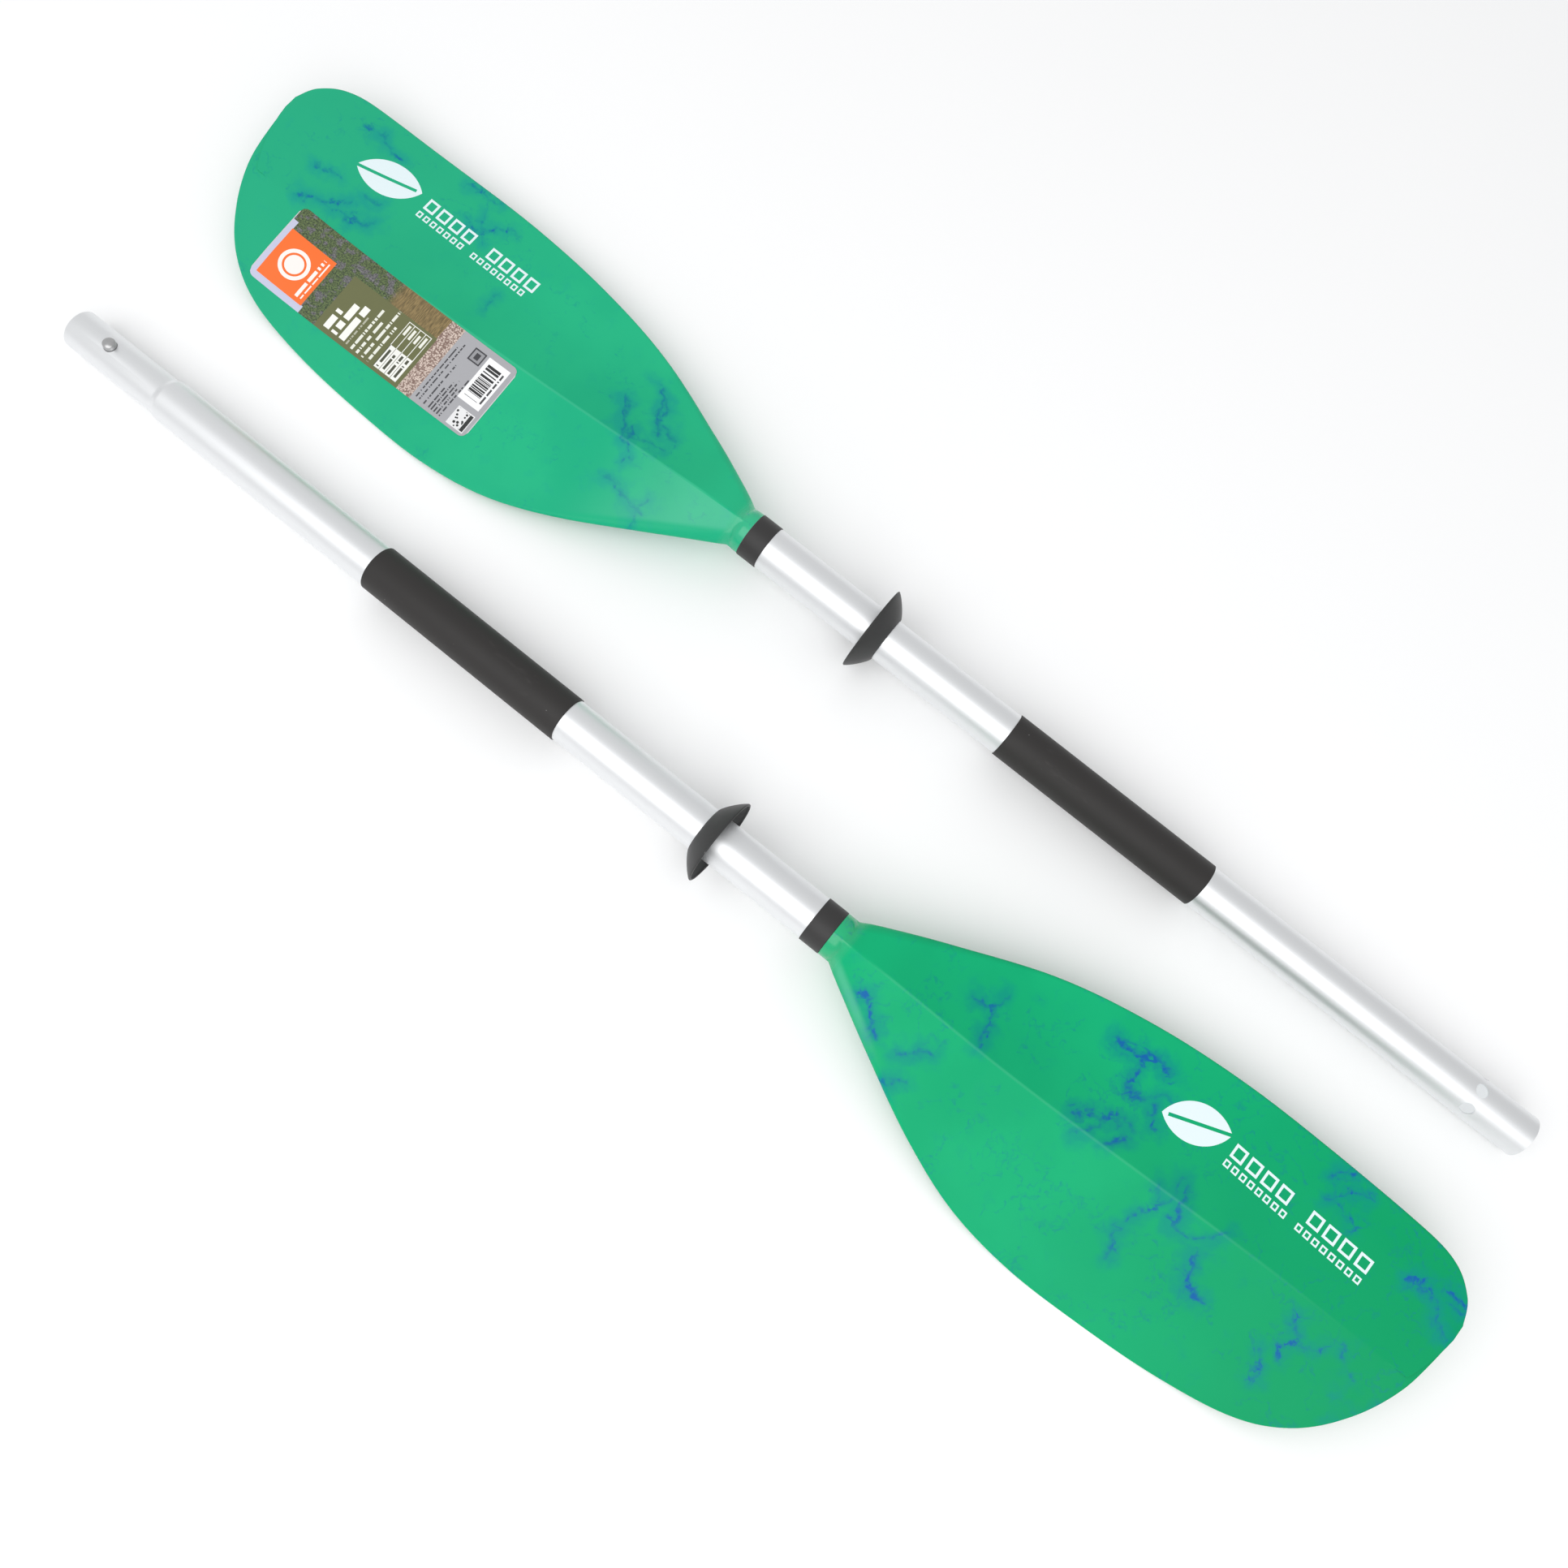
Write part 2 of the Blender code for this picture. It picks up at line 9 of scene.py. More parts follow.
import random
from math import cos, pi, radians, sin, sqrt

import bmesh
import bpy
import numpy as np
from mathutils import Euler, Matrix, Vector, noise


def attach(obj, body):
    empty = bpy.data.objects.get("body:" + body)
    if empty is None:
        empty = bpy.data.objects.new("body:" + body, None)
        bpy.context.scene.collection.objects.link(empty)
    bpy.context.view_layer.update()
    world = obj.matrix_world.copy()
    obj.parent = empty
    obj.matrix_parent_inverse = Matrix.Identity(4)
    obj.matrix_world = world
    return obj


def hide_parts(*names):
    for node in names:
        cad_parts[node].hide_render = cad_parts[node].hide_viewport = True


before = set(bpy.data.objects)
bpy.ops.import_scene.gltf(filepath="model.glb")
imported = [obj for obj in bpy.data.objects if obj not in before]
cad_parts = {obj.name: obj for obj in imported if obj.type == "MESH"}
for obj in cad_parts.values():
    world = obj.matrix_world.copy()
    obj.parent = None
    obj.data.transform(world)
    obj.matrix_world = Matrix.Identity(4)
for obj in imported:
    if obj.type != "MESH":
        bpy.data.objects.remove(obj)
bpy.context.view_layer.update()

# The halves' frames: place of the blade's root on the shaft axis, and the turn in degrees
HALVES = {
    "left": ((-0.096133, 0.083295, 0.035876), (-7.0, -2.024, 180.79)),
    "right": ((0.096267, -0.085905, 0.039203), (11.0, -2.470, -0.79)),
}
NARROW_SIDE = {"left": -1, "right": 1}

# Shaft, sleeves and rings. The band's lip and the left ring's rim differ a little from the CAD's.
TUBE_RADIUS = 0.0145
TUBE_WALL = 0.0012
TUBE_END = -0.606
NECK_RADIUS = 0.0131
NECK_LENGTH = 0.072
NECK_RAMP = 0.007
BAND_LENGTH = 0.013
BAND_RADIUS = 0.0150
BAND_LIP = 0.0011
SLEEVE_GAP = 0.00015
GRIP_RADIUS = 0.01515
GRIP_NEAR = -0.203
GRIP_FAR = -0.355
RING_RADIUS = 0.02875
RING_DEPTH = 0.0115
RING_WALL = 0.0016
RING_COLLAR_RADIUS = 0.0176
RING_FULLNESS = 1.7
RING_RIM = {"left": -0.0953, "right": -0.0850}
BUTTON_ALONG = -0.575
BUTTON_TURN = 13
BUTTON_RADIUS = 0.0041
BUTTON_HOLE_RADIUS = 0.0044
BUTTON_PROUD = 0.0042
HOLE_ALONG = -0.564
ROUND_STEPS = 96

# Blade. The edge points and the spoon are the CAD's. The edge points don't come from driving sizes:
# a fitting script moved them onto the photo's outline, as report.md says.
BLADE_NECK_RADIUS = 0.0148
RIDGE_HEIGHT = 0.0125
RIDGE_REACH = 0.205
RIDGE_FADE = 1.45           # power by which the ridge falls along its reach
PLATE_HALF = 0.0022
EDGE_HALF = 0.0010
ROOT_EDGE_EXTRA = 0.0030    # how much thicker the rolled edge is by the neck, each way
RIM_THINNING = 0.030        # the plate thins over this distance from its rim
UNDERSIDE_SAVED = 0.55      # share of the underside's depth left out away from the crease
EDGE_DROP = 0.0065
EDGE_DROP_SPAN = 0.088      # distance from the crease at which the face has dropped that far
BOSS_FILLET = 0.0007
NARROW_EDGE = (
    (0.009, 0.0150), (0.024, 0.0226), (0.061, 0.0394), (0.122, 0.0643), (0.183, 0.0786),
    (0.244, 0.0854), (0.305, 0.0864), (0.366, 0.0840), (0.398, 0.0792), (0.415, 0.0664),
    (0.4215, 0.0520),
)
WIDE_EDGE = (
    (0.009, -0.0150), (0.024, -0.0233), (0.061, -0.0429), (0.107, -0.0652), (0.153, -0.0815),
    (0.200, -0.0880), (0.250, -0.0871), (0.305, -0.0823), (0.351, -0.0728), (0.380, -0.0567),
    (0.401, -0.0318), (0.415, 0.0005), (0.4215, 0.0400),
)
SPOON = (
    (0.000, 0.0000), (0.030, -0.0020), (0.070, -0.0075), (0.120, -0.0150), (0.190, -0.0232),
    (0.270, -0.0285), (0.340, -0.0300), (0.400, -0.0255), (0.4215, -0.0222),
)
BOSS_STRAIGHT = 0.0045
BOSS_REACH = 0.0150
CREASE_SOFT = 0.0008
CREASE_BOW = {"left": -0.0040, "right": 0.0080}
CREASE_BENDS = (0.10, 0.36)               # the crease leaves the shaft axis between these
SHEEN = {"left": 0.17, "right": 0.20}    # how strong the painted sheen is on the wide face beside the neck
VEINS = {"left": 0.51, "right": 0.47}     # noise level above which thin blue veins show
WISPS = {"left": 0.42, "right": 0.50}     # how blue those veins are

# Label on the left blade
LABEL_CENTRE = (0.2780, -0.0316)
LABEL_SIZE = (0.181, 0.0575)
LABEL_CORNER = 0.005
LABEL_LIFT = 0.00018        # height of the film's face over the blade's
LABEL_THICKNESS = 0.00013


# ---------------------------------------------------------------- shapes


def half_matrix(side):
    """The frame of one half in the row frame."""
    place, turn = HALVES[side]
    return Matrix.Translation(place) @ Euler([radians(t) for t in turn]).to_matrix().to_4x4()


def add_piece(name, mesh, side, body, material, *nodes):
    """A piece made in its half's frame, on its body, standing for the CAD nodes."""
    places = [0.0] * (3 * len(mesh.vertices))
    mesh.vertices.foreach_get("co", places)
    layer = mesh.attributes.new("half_place", "FLOAT_VECTOR", "POINT")
    layer.data.foreach_set("vector", places)
    mesh.transform(half_matrix(side))
    mesh.materials.append(material)
    piece = bpy.data.objects.new(name, mesh)
    bpy.context.scene.collection.objects.link(piece)
    bpy.context.view_layer.update()
    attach(piece, body)
    if nodes:
        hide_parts(*nodes)
    return piece


def lathe(name, profile, sharp=40):
    """A closed outline of (along, radius) points turned about the shaft axis."""
    body = bmesh.new()
    rings = []
    for k in range(ROUND_STEPS):
        a = 2 * pi * k / ROUND_STEPS
        rings.append([body.verts.new((x, r * sin(a), r * cos(a))) for x, r in profile])
    count = len(profile)
    for k in range(ROUND_STEPS):
        one = rings[k]
        two = rings[(k + 1) % ROUND_STEPS]
        for i in range(count):
            j = (i + 1) % count
            body.faces.new((one[i], two[i], two[j], one[j]))
    bmesh.ops.recalc_face_normals(body, faces=body.faces)
    mesh = bpy.data.meshes.new(name)
    body.to_mesh(mesh)
    body.free()
    mesh.shade_smooth()
    mesh.set_sharp_from_angle(angle=radians(sharp))
    return mesh


def spline_point(points, u):
    """A point on a smooth curve through the given points, with u from 0 to 1."""
    last = len(points) - 1
    i = min(int(u * last), last - 1)
    t = u * last - i
    before = points[max(i - 1, 0)]
    after = points[min(i + 2, last)]
    result = []
    for a, b, c, d in zip(before, points[i], points[i + 1], after):
        bend = (2 * a - 5 * b + 4 * c - d) * t * t + (3 * b - a - 3 * c + d) * t**3
        result.append(0.5 * (2 * b + (c - a) * t + bend))
    return result


class Outline:
    """A smooth curve through points, read by its length."""

    def __init__(self, points):
        self.fine = [spline_point(points, k / 2000) for k in range(2001)]
        self.run = [0.0]
        for a, b in zip(self.fine, self.fine[1:]):
            self.run.append(self.run[-1] + sqrt((b[0] - a[0]) ** 2 + (b[1] - a[1]) ** 2))

    def at(self, share):
        """The point at a share of the whole length."""
        goal = min(max(share, 0.0), 1.0) * self.run[-1]
        low = 0
        high = 2000
        while high - low > 1:
            middle = (low + high) // 2
            if self.run[middle] < goal:
                low = middle
            else:
                high = middle
        t = (goal - self.run[low]) / max(self.run[high] - self.run[low], 1e-9)
        a = self.fine[low]
        b = self.fine[high]
        return (a[0] + t * (b[0] - a[0]), a[1] + t * (b[1] - a[1]))

    def across(self, along):
        """Distance from the axis where the curve first reaches a distance along the blade."""
        for a, b in zip(self.fine, self.fine[1:]):
            if b[0] >= along:
                t = (along - a[0]) / max(b[0] - a[0], 1e-9)
                return a[1] + t * (b[1] - a[1])
        return self.fine[-1][1]


NARROW = Outline(NARROW_EDGE)
WIDE = Outline(WIDE_EDGE)


def smooth_step(low, high, value):
    """0 below low, 1 above high, and a smooth rise between them."""
    t = min(max((value - low) / (high - low), 0.0), 1.0)
    return t * t * (3 - 2 * t)


def smooth_max(a, b, width):
    """The larger of two heights, with a fillet of about that width."""
    h = max(width - abs(a - b), 0.0) / width
    return max(a, b) + h * h * width * 0.25


def spoon_height(along):
    """Height of the blade's middle surface on its centre line."""
    along = min(max(along, 0.0), SPOON[-1][0])
    for i, ((a, _), (b, _)) in enumerate(zip(SPOON, SPOON[1:])):
        if along <= b:
            break
    return spline_point(SPOON, (i + (along - a) / (b - a)) / (len(SPOON) - 1))[1]


def ridge_half(along):
    """Half thickness of the blade on its centre line."""
    fade = max(0.0, 1 - along / RIDGE_REACH)
    return PLATE_HALF + (RIDGE_HEIGHT - PLATE_HALF) * fade**RIDGE_FADE


def boss_radius(along):
    """Radius of the round boss that carries the blade's root, 0 beyond its domed end."""
    if along <= BOSS_STRAIGHT:
        return BLADE_NECK_RADIUS
    t = (along - BOSS_STRAIGHT) / (BOSS_REACH - BOSS_STRAIGHT)
    return BLADE_NECK_RADIUS * sqrt(max(0.0, 1 - t * t)) if t < 1 else 0.0


def crease_at(side, along):
    """Distance of the crease from the shaft axis, towards the narrow edge."""
    return CREASE_BOW[side] * smooth_step(*CREASE_BENDS, along)


def faces_at(side, along, across, rim):
    """Top and bottom heights at a place (narrow side positive), rim metres from the edge."""
    out = abs(across - crease_at(side, along))
    soft = sqrt(out**2 + CREASE_SOFT**2) - CREASE_SOFT
    drop = EDGE_DROP * smooth_step(0.01, 0.14, along) * (1 - 0.6 * smooth_step(0.31, 0.42, along))
    middle = spoon_height(along) - drop * soft / EDGE_DROP_SPAN
    edge = EDGE_HALF + ROOT_EDGE_EXTRA * (1 - smooth_step(0.02, 0.15, along))
    reach = out + rim
    half = edge + (PLATE_HALF - EDGE_HALF) * smooth_step(0.0, RIM_THINNING, rim)
    half += (ridge_half(along) - PLATE_HALF) * max(0.0, 1 - soft / max(reach, 0.01))
    half = max(half, edge)
    near = min(1.0, rim / max(edge * 1.6, 0.0016))
    half *= sqrt(max(0.0, 1 - (1 - near) ** 2))
    boss = boss_radius(along)
    if boss:
        half = smooth_max(half, sqrt(max(0.0, boss**2 - across**2)), BOSS_FILLET)
    under = half * (1 - UNDERSIDE_SAVED * smooth_step(0.005, 0.030, out))
    return middle + half, middle - under


def row_spots():
    """Shares from the wide edge (-1) over the centre line (0) to the narrow edge (1)."""
    inner = [0.0, 0.004, 0.010, 0.020, 0.035]
    inner += [0.06 + (0.93 - 0.06) * k / 55 for k in range(56)]
    outer = [0.93 + 0.07 * (1 - (1 - k / 14) ** 2) for k in range(1, 15)]
    half = inner + outer
    return [-s for s in reversed(half[1:])] + half


def blade_rows():
    """Pairs of edge points, close together near the root and the tip."""
    rows = []
    start = BAND_LIP + 0.0002
    for k in range(12):
        x = start + (0.009 - start) * k / 12
        rows.append(((x, BLADE_NECK_RADIUS), (x, -BLADE_NECK_RADIUS)))
    shares = [0.04 * k / 40 for k in range(41)]
    shares += [0.04 + 0.88 * k / 245 for k in range(1, 246)]
    shares += [0.92 + 0.08 * (1 - (1 - k / 50) ** 1.6) for k in range(1, 51)]
    for share in shares:
        n = NARROW.at(share)
        w = WIDE.at(share)
        neck = (BLADE_NECK_RADIUS - 0.0150) * (1 - smooth_step(0.009, 0.014, n[0]))
        rows.append(((n[0], n[1] + neck), (w[0], w[1] - neck)))
    return rows


def blade_ring(side, narrow, wide, spots):
    """Points round the blade on one chord: across the top and back across the bottom."""
    span = narrow[1] - wide[1]
    length = sqrt(span**2 + (narrow[0] - wide[0]) ** 2)
    crease = crease_at(side, (narrow[0] + wide[0]) / 2)
    centre = min(max((crease - wide[1]) / span, 0.12), 0.88)
    top = []
    bottom = []
    for k, s in enumerate(spots):
        share = centre + s * (1 - centre) if s >= 0 else centre * (1 + s)
        x = wide[0] + share * (narrow[0] - wide[0])
        y = wide[1] + share * span
        rim = length * (1 - share if s >= 0 else share)
        high, low = faces_at(side, x, y, rim)
        top.append((x, NARROW_SIDE[side] * y, high))
        if 0 < k < len(spots) - 1 and (k % 3 == 0 or abs(s) > 0.96 or abs(s) < 0.03):
            bottom.append((x, NARROW_SIDE[side] * y, low))
    return top + list(reversed(bottom))


def blade_mesh(name, side):
    """The visible blade: boss, ridge, rolled root edges, spoon and rounded rim."""
    spots = row_spots()
    rows = [blade_ring(side, narrow, wide, spots) for narrow, wide in blade_rows()]
    count = len(rows[0])
    points = [point for row in rows for point in row]
    faces = [
        (r * count + k, r * count + (k + 1) % count,
         (r + 1) * count + (k + 1) % count, (r + 1) * count + k)
        for r in range(len(rows) - 1)
        for k in range(count)
    ]
    faces.append(tuple(reversed(range(count))))
    faces.append(tuple(range((len(rows) - 1) * count, len(rows) * count)))
    mesh = solid_mesh(name, points, faces, 60)
    mark_blue(mesh, side, len(rows), len(spots), count)
    return mesh


def solid_mesh(name, points, faces, sharp):
    """A smooth-shaded closed mesh with its normals outwards."""
    mesh = bpy.data.meshes.new(name)
    mesh.from_pydata(points, [], faces)
    body = bmesh.new()
    body.from_mesh(mesh)
    bmesh.ops.recalc_face_normals(body, faces=body.faces)
    body.to_mesh(mesh)
    body.free()
    mesh.shade_smooth()
    mesh.set_sharp_from_angle(angle=radians(sharp))
    return mesh


def face_height(side, along, across):
    """Height of the blade's face over a point of its frame, narrow side positive."""
    edge = NARROW.across(along) if across > 0 else -WIDE.across(along)
    return faces_at(side, along, across, max(0.0, edge - abs(across)))[0]


# ---------------------------------------------------------------- materials


class Shader:
    """A node material under construction. Values may be numbers or sockets."""

    def __init__(self, name, made=True):
        self.made = made
        self.material = bpy.data.materials.new(name)
        self.material.use_nodes = True
        self.tree = self.material.node_tree
        self.surface = self.tree.nodes["Principled BSDF"]
        self.place = None

    def put(self, node, key, value):
        """Set or link one input."""
        if isinstance(value, bpy.types.NodeSocket):
            self.tree.links.new(value, node.inputs[key])
        else:
            node.inputs[key].default_value = value

    def node(self, kind, output=0, settings=None, **inputs):
        """A node with its inputs filled, by name or as i0, i1 and so on."""
        node = self.tree.nodes.new(kind)
        for key, value in (settings or {}).items():
            setattr(node, key, value)
        for key, value in inputs.items():
            self.put(node, int(key[1:]) if key[1:].isdigit() else key.replace("_", " "), value)
        return node.outputs[output]

    def math(self, operation, a, b=0.0, c=0.0, clamp=False):
        """One Math node."""
        settings = {"operation": operation, "use_clamp": clamp}
        return self.node("ShaderNodeMath", 0, settings, i0=a, i1=b, i2=c)

    def times(self, a, b):
        """The product of two values."""
        return self.math("MULTIPLY", a, b)

    def plus(self, a, b):
        """The sum of two values."""
        return self.math("ADD", a, b)

    def minus(self, a, b):
        """The first value less the second."""
        return self.math("SUBTRACT", a, b)

    def most(self, a, b):
        """The larger of two values."""
        return self.math("MAXIMUM", a, b)

    def mix(self, share, a, b):
        """Two colours mixed."""
        settings = {"data_type": "RGBA"}
        return self.node("ShaderNodeMix", 2, settings, i0=share, i6=colour(a), i7=colour(b))

    def coordinates(self):
        """Distances in the half's frame on made pieces, and in the row frame on others."""
        if not self.place:
            if self.made:
                settings = {"attribute_name": "half_place"}
                self.place = self.node("ShaderNodeAttribute", "Vector", settings)
            else:
                self.place = self.node("ShaderNodeTexCoord", "Object")
        return self.place

    def axes(self, vector):
        """The three numbers of a vector."""
        node = self.tree.nodes.new("ShaderNodeSeparateXYZ")
        self.put(node, 0, vector)
        return node.outputs[0], node.outputs[1], node.outputs[2]

    def vector(self, x, y, z=0.0):
        """A vector from three numbers."""
        return self.node("ShaderNodeCombineXYZ", 0, None, i0=x, i1=y, i2=z)

    def noise(self, vector, scale, detail, roughness, output=0):
        """Noise between 0 and 1."""
        return self.node("ShaderNodeTexNoise", output, None, Vector=vector, Scale=scale,
                         Detail=detail, Roughness=roughness)

    def step(self, low, high, value):
        """Smooth rise from 0 at low to 1 at high, which may be below low."""
        return self.node("ShaderNodeMapRange", 0, {"interpolation_type": "SMOOTHSTEP"},
                         Value=value, From_Min=low, From_Max=high)

    def near(self, value, middle, reach):
        """1 where the value is within reach of the middle."""
        return self.math("COMPARE", value, middle, reach)

    def scaled(self, vector, x, y, z):
        """A vector with each axis scaled."""
        return self.vectors("MULTIPLY", vector, (x, y, z))

    def vectors(self, operation, a, b):
        """One Vector Math node of two inputs."""
        return self.node("ShaderNodeVectorMath", 0, {"operation": operation}, i0=a, i1=b)

    def bump(self, height, strength, distance):
        """Tilt the surface by a height."""
        normal = self.node("ShaderNodeBump", 0, None, Strength=strength, Distance=distance,
                           Height=height)
        self.put(self.surface, "Normal", normal)

    def finish(self, **inputs):
        """Fill the Principled inputs."""
        for key, value in inputs.items():
            name = key.replace("_", " ")
            self.put(self.surface, name, colour(value) if name == "Base Color" else value)
        return self.material


def colour(value):
    """sRGB numbers from 0 to 255 as a linear colour; sockets and colours pass through."""
    if isinstance(value, tuple) and len(value) == 3:
        linear = [v / 255 for v in value]
        linear = [v / 12.92 if v <= 0.04045 else ((v + 0.055) / 1.055) ** 2.4 for v in linear]
        return (*linear, 1.0)
    return value


# Plain printed marks: an outlined leaf, and rows of hollow boxes where the real blade has words.
# Distances in mm along the blade and across it, towards the narrow edge.
PRINTS = {
    "left": {
        "leaf": (342.0, 49.0, 23.0, 12.5, -16.0),
        "rows": ((314.0, -10.8, 9, 4, 52.0, 0.020, 8.3, 9.0, 1.6),
                 (314.0, -5.8, 16, 7, 42.6, 0.012, 4.0, 4.4, 1.0)),
    },
    "right": {
        "leaf": (237.5, 48.0, 22.0, 12.5, 20.0),
        "rows": ((262.0, 11.5, 9, 4, 49.6, 0.050, 8.8, 9.0, 1.6),
                 (262.0, 6.05, 17, 8, 40.6, 0.060, 4.2, 4.4, 1.0)),
    },
}

# Where blue was poured into the green: along the blade and across it towards the narrow edge,
# how far it spread, all in mm, then how many streaks and how strong. The streaks follow POUR_SEED.
BLUE_POURS = {
    "left": (
        (365, 15, 25, 5, 0.85), (370, 70, 12, 2, 0.80), (270, 65, 25, 4, 0.80),
        (240, 30, 10, 1, 0.80), (105, 30, 22, 6, 0.85), (60, -30, 10, 2, 0.90),
    ),
    "right": (
        (105, 25, 15, 4, 1.0), (75, -35, 22, 6, 0.95), (205, 35, 25, 7, 1.0),
        (260, -5, 25, 6, 1.0), (320, 75, 20, 5, 0.85), (400, 45, 20, 4, 0.85),
        (345, -20, 15, 3, 0.75), (395, -20, 25, 3, 0.60),
    ),
}
POUR_SEED = {"left": 11, "right": 5}
STREAK_FAN = 0.9            # how far the streaks of one pour differ in direction, radians
STREAK_BEND = 0.7           # how far a streak turns at each point, radians
STREAK_STEP = (4, 9)        # distance between its points, mm
STREAK_REACH = (4, 8)       # width of its feathered side, mm
STREAK_CRISP = 1.5          # width of its crisp side, mm
STREAK_EVEN = 4.0           # width of both sides where neither is crisp, mm


def blue_streaks(side):
    """Weight, reach to the right and to the left, and points of each streak of blue, in mm."""
    chance = random.Random(POUR_SEED[side])
    streaks = []
    for along, across, spread, count, strength in BLUE_POURS[side]:
        heading = chance.uniform(0, 2 * pi)
        for _ in range(count):
            turn = chance.uniform(0, 2 * pi)
            off = spread * sqrt(chance.random())
            point = (along + off * cos(turn), across + off * sin(turn))
            angle = heading + chance.uniform(-STREAK_FAN, STREAK_FAN)
            points = [point]
            for _ in range(chance.randint(2, 5)):
                angle += chance.uniform(-STREAK_BEND, STREAK_BEND)
                step = chance.uniform(*STREAK_STEP)
                point = (point[0] + step * cos(angle), point[1] + step * sin(angle))
                points.append(point)
            reach = chance.uniform(*STREAK_REACH)
            sides = ((STREAK_CRISP, reach), (reach, STREAK_CRISP), (STREAK_EVEN, STREAK_EVEN))
            reaches = chance.choice(sides)
            streaks.append((strength * chance.uniform(0.7, 1.1), *reaches, points))
    return streaks


def leaf_mask(shader, along, across, leaf):
    """A pointed leaf shape with a straight slot down its middle."""
    ox, oy, long_half, wide_half, turn = leaf
    dx = shader.minus(along, ox)
    dy = shader.minus(across, oy)
    c = cos(radians(turn))
    s = sin(radians(turn))
    u = shader.plus(shader.times(dx, c), shader.times(dy, s))
    v = shader.minus(shader.times(dy, c), shader.times(dx, s))
    bend = (long_half**2 - wide_half**2) / (2 * wide_half)
    wide = shader.plus(shader.math("ABSOLUTE", v), bend)
    far = shader.plus(shader.times(u, u), shader.times(wide, wide))
    inside = shader.math("LESS_THAN", far, (bend + wide_half) ** 2)
    slot = shader.times(shader.near(v, 0.0, 1.1), shader.near(u, 4.0, long_half))
    return shader.math("SUBTRACT", inside, slot, clamp=True)


def box_row(shader, along, across, row):
    """A row of hollow boxes with one cell left empty."""
    start, pitch, cells, blank, level, slope, wide, tall, stroke = row
    cell = shader.math("DIVIDE", shader.minus(along, start), pitch)
    lift = shader.times(cell, slope * abs(pitch))
    line = shader.plus(shader.minus(across, level), lift)
    spot = shader.minus(shader.math("FRACT", cell), 0.5)
    spot = shader.times(spot, pitch)
    outer = shader.times(shader.near(spot, 0.0, wide / 2),
                         shader.near(line, 0.0, tall / 2))
    inner = shader.times(shader.near(spot, 0.0, wide / 2 - stroke),
                         shader.near(line, 0.0, tall / 2 - stroke))
    box = shader.math("SUBTRACT", outer, inner, clamp=True)
    inside = shader.near(cell, cells / 2, cells / 2)
    gap = shader.near(cell, blank + 0.5, 0.5)
    return shader.math("MULTIPLY", box, shader.math("SUBTRACT", inside, gap, clamp=True))


def drifted_places(points, seed):
    """Places in mm pushed about, as in a slow flow, and a feathering number for each."""
    moved = []
    feather = []
    for x, y in points:
        slow = noise.noise_vector((x / 15, y / 15, seed))
        quick = noise.noise_vector((x / 5, y / 5, seed + 7))
        moved.append((x + 3.0 * slow[0] + 2.4 * quick[0], y + 3.0 * slow[1] + 2.4 * quick[1]))
        feather.append(0.95 + 1.1 * noise.noise((x / 2.6, y / 2.6, seed + 19)))
    return np.array(moved), np.array(feather)


def blue_levels(points, side, seed):
    """How much blue has flowed to each place, and how much haze lies round it."""
    places, feather = drifted_places(points, seed)
    total = np.zeros(len(places))
    haze = np.zeros(len(places))
    for weight, right, left, stroke in blue_streaks(side):
        for a, b in zip(stroke, stroke[1:]):
            run = np.subtract(b, a)
            start = places - a
            share = np.clip(start @ run / (run @ run), 0, 1)
            far = np.linalg.norm(start - share[:, None] * run, axis=1)
            turn = start[:, 1] * run[0] - start[:, 0] * run[1]
            level = np.clip(1 - far / (np.where(turn > 0, left, right) * feather), 0, 1)
            total = np.maximum(total, weight * level**1.3)
            haze = np.maximum(haze, weight * np.clip(1 - far / (left + right + 6), 0, 1) ** 1.4)
    return total, haze


def mark_blue(mesh, side, rows, top, count):
    """Keep the blue levels on the blade's points; the back takes the other blade's pattern."""
    other = {"left": "right", "right": "left"}[side]
    face = [row * count + k for row in range(rows) for k in range(top)]
    back = [row * count + k for row in range(rows) for k in range(top, count)]
    levels = np.zeros((2, rows * count))
    for part, pattern, seed in ((face, side, 3.0), (back, other, 40.0)):
        points = [(mesh.vertices[i].co.x * 1000, mesh.vertices[i].co.y * 1000) for i in part]
        points = [(x, y * NARROW_SIDE[side]) for x, y in points]
        levels[:, part] = blue_levels(points, pattern, seed)
    for name, values in zip(("blue", "blue_haze"), levels):
        mesh.attributes.new(name, "FLOAT", "POINT").data.foreach_set("value", values)


def drifted(shader, place, scale, amount):
    """A place in mm pushed about by noise."""
    push = shader.vectors("SUBTRACT", shader.noise(place, scale, 2.0, 0.55, output=1),
                          (0.5, 0.5, 0.5))
    return shader.vectors("ADD", place, shader.scaled(push, amount, amount, 0.0))


def vein_level(shader, place, scale, spread, most):
    """Thin wandering lines that show in patches."""
    vein = shader.minus(shader.noise(place, scale, 3.0, 0.6), 0.5)
    patch = shader.noise(shader.vectors("ADD", place, (170.0, 90.0, 0.0)), scale * 0.45, 2.0, 0.5)
    thin = shader.step(spread, 0.0, shader.math("ABSOLUTE", vein))
    return shader.times(thin, shader.step(most, most + 0.12, patch))


TEAL = (14, 126, 144)
BLUE = (16, 80, 174)
CREASE_SHADE = (4, 100, 66)
CREASE_GLINT = (150, 225, 200)
# Pale green of the painted sheen: reflected light painted on the wide face beside the neck
PAINTED_SHEEN_GREEN = (150, 220, 200)
PRINT_WHITE = (226, 240, 243)


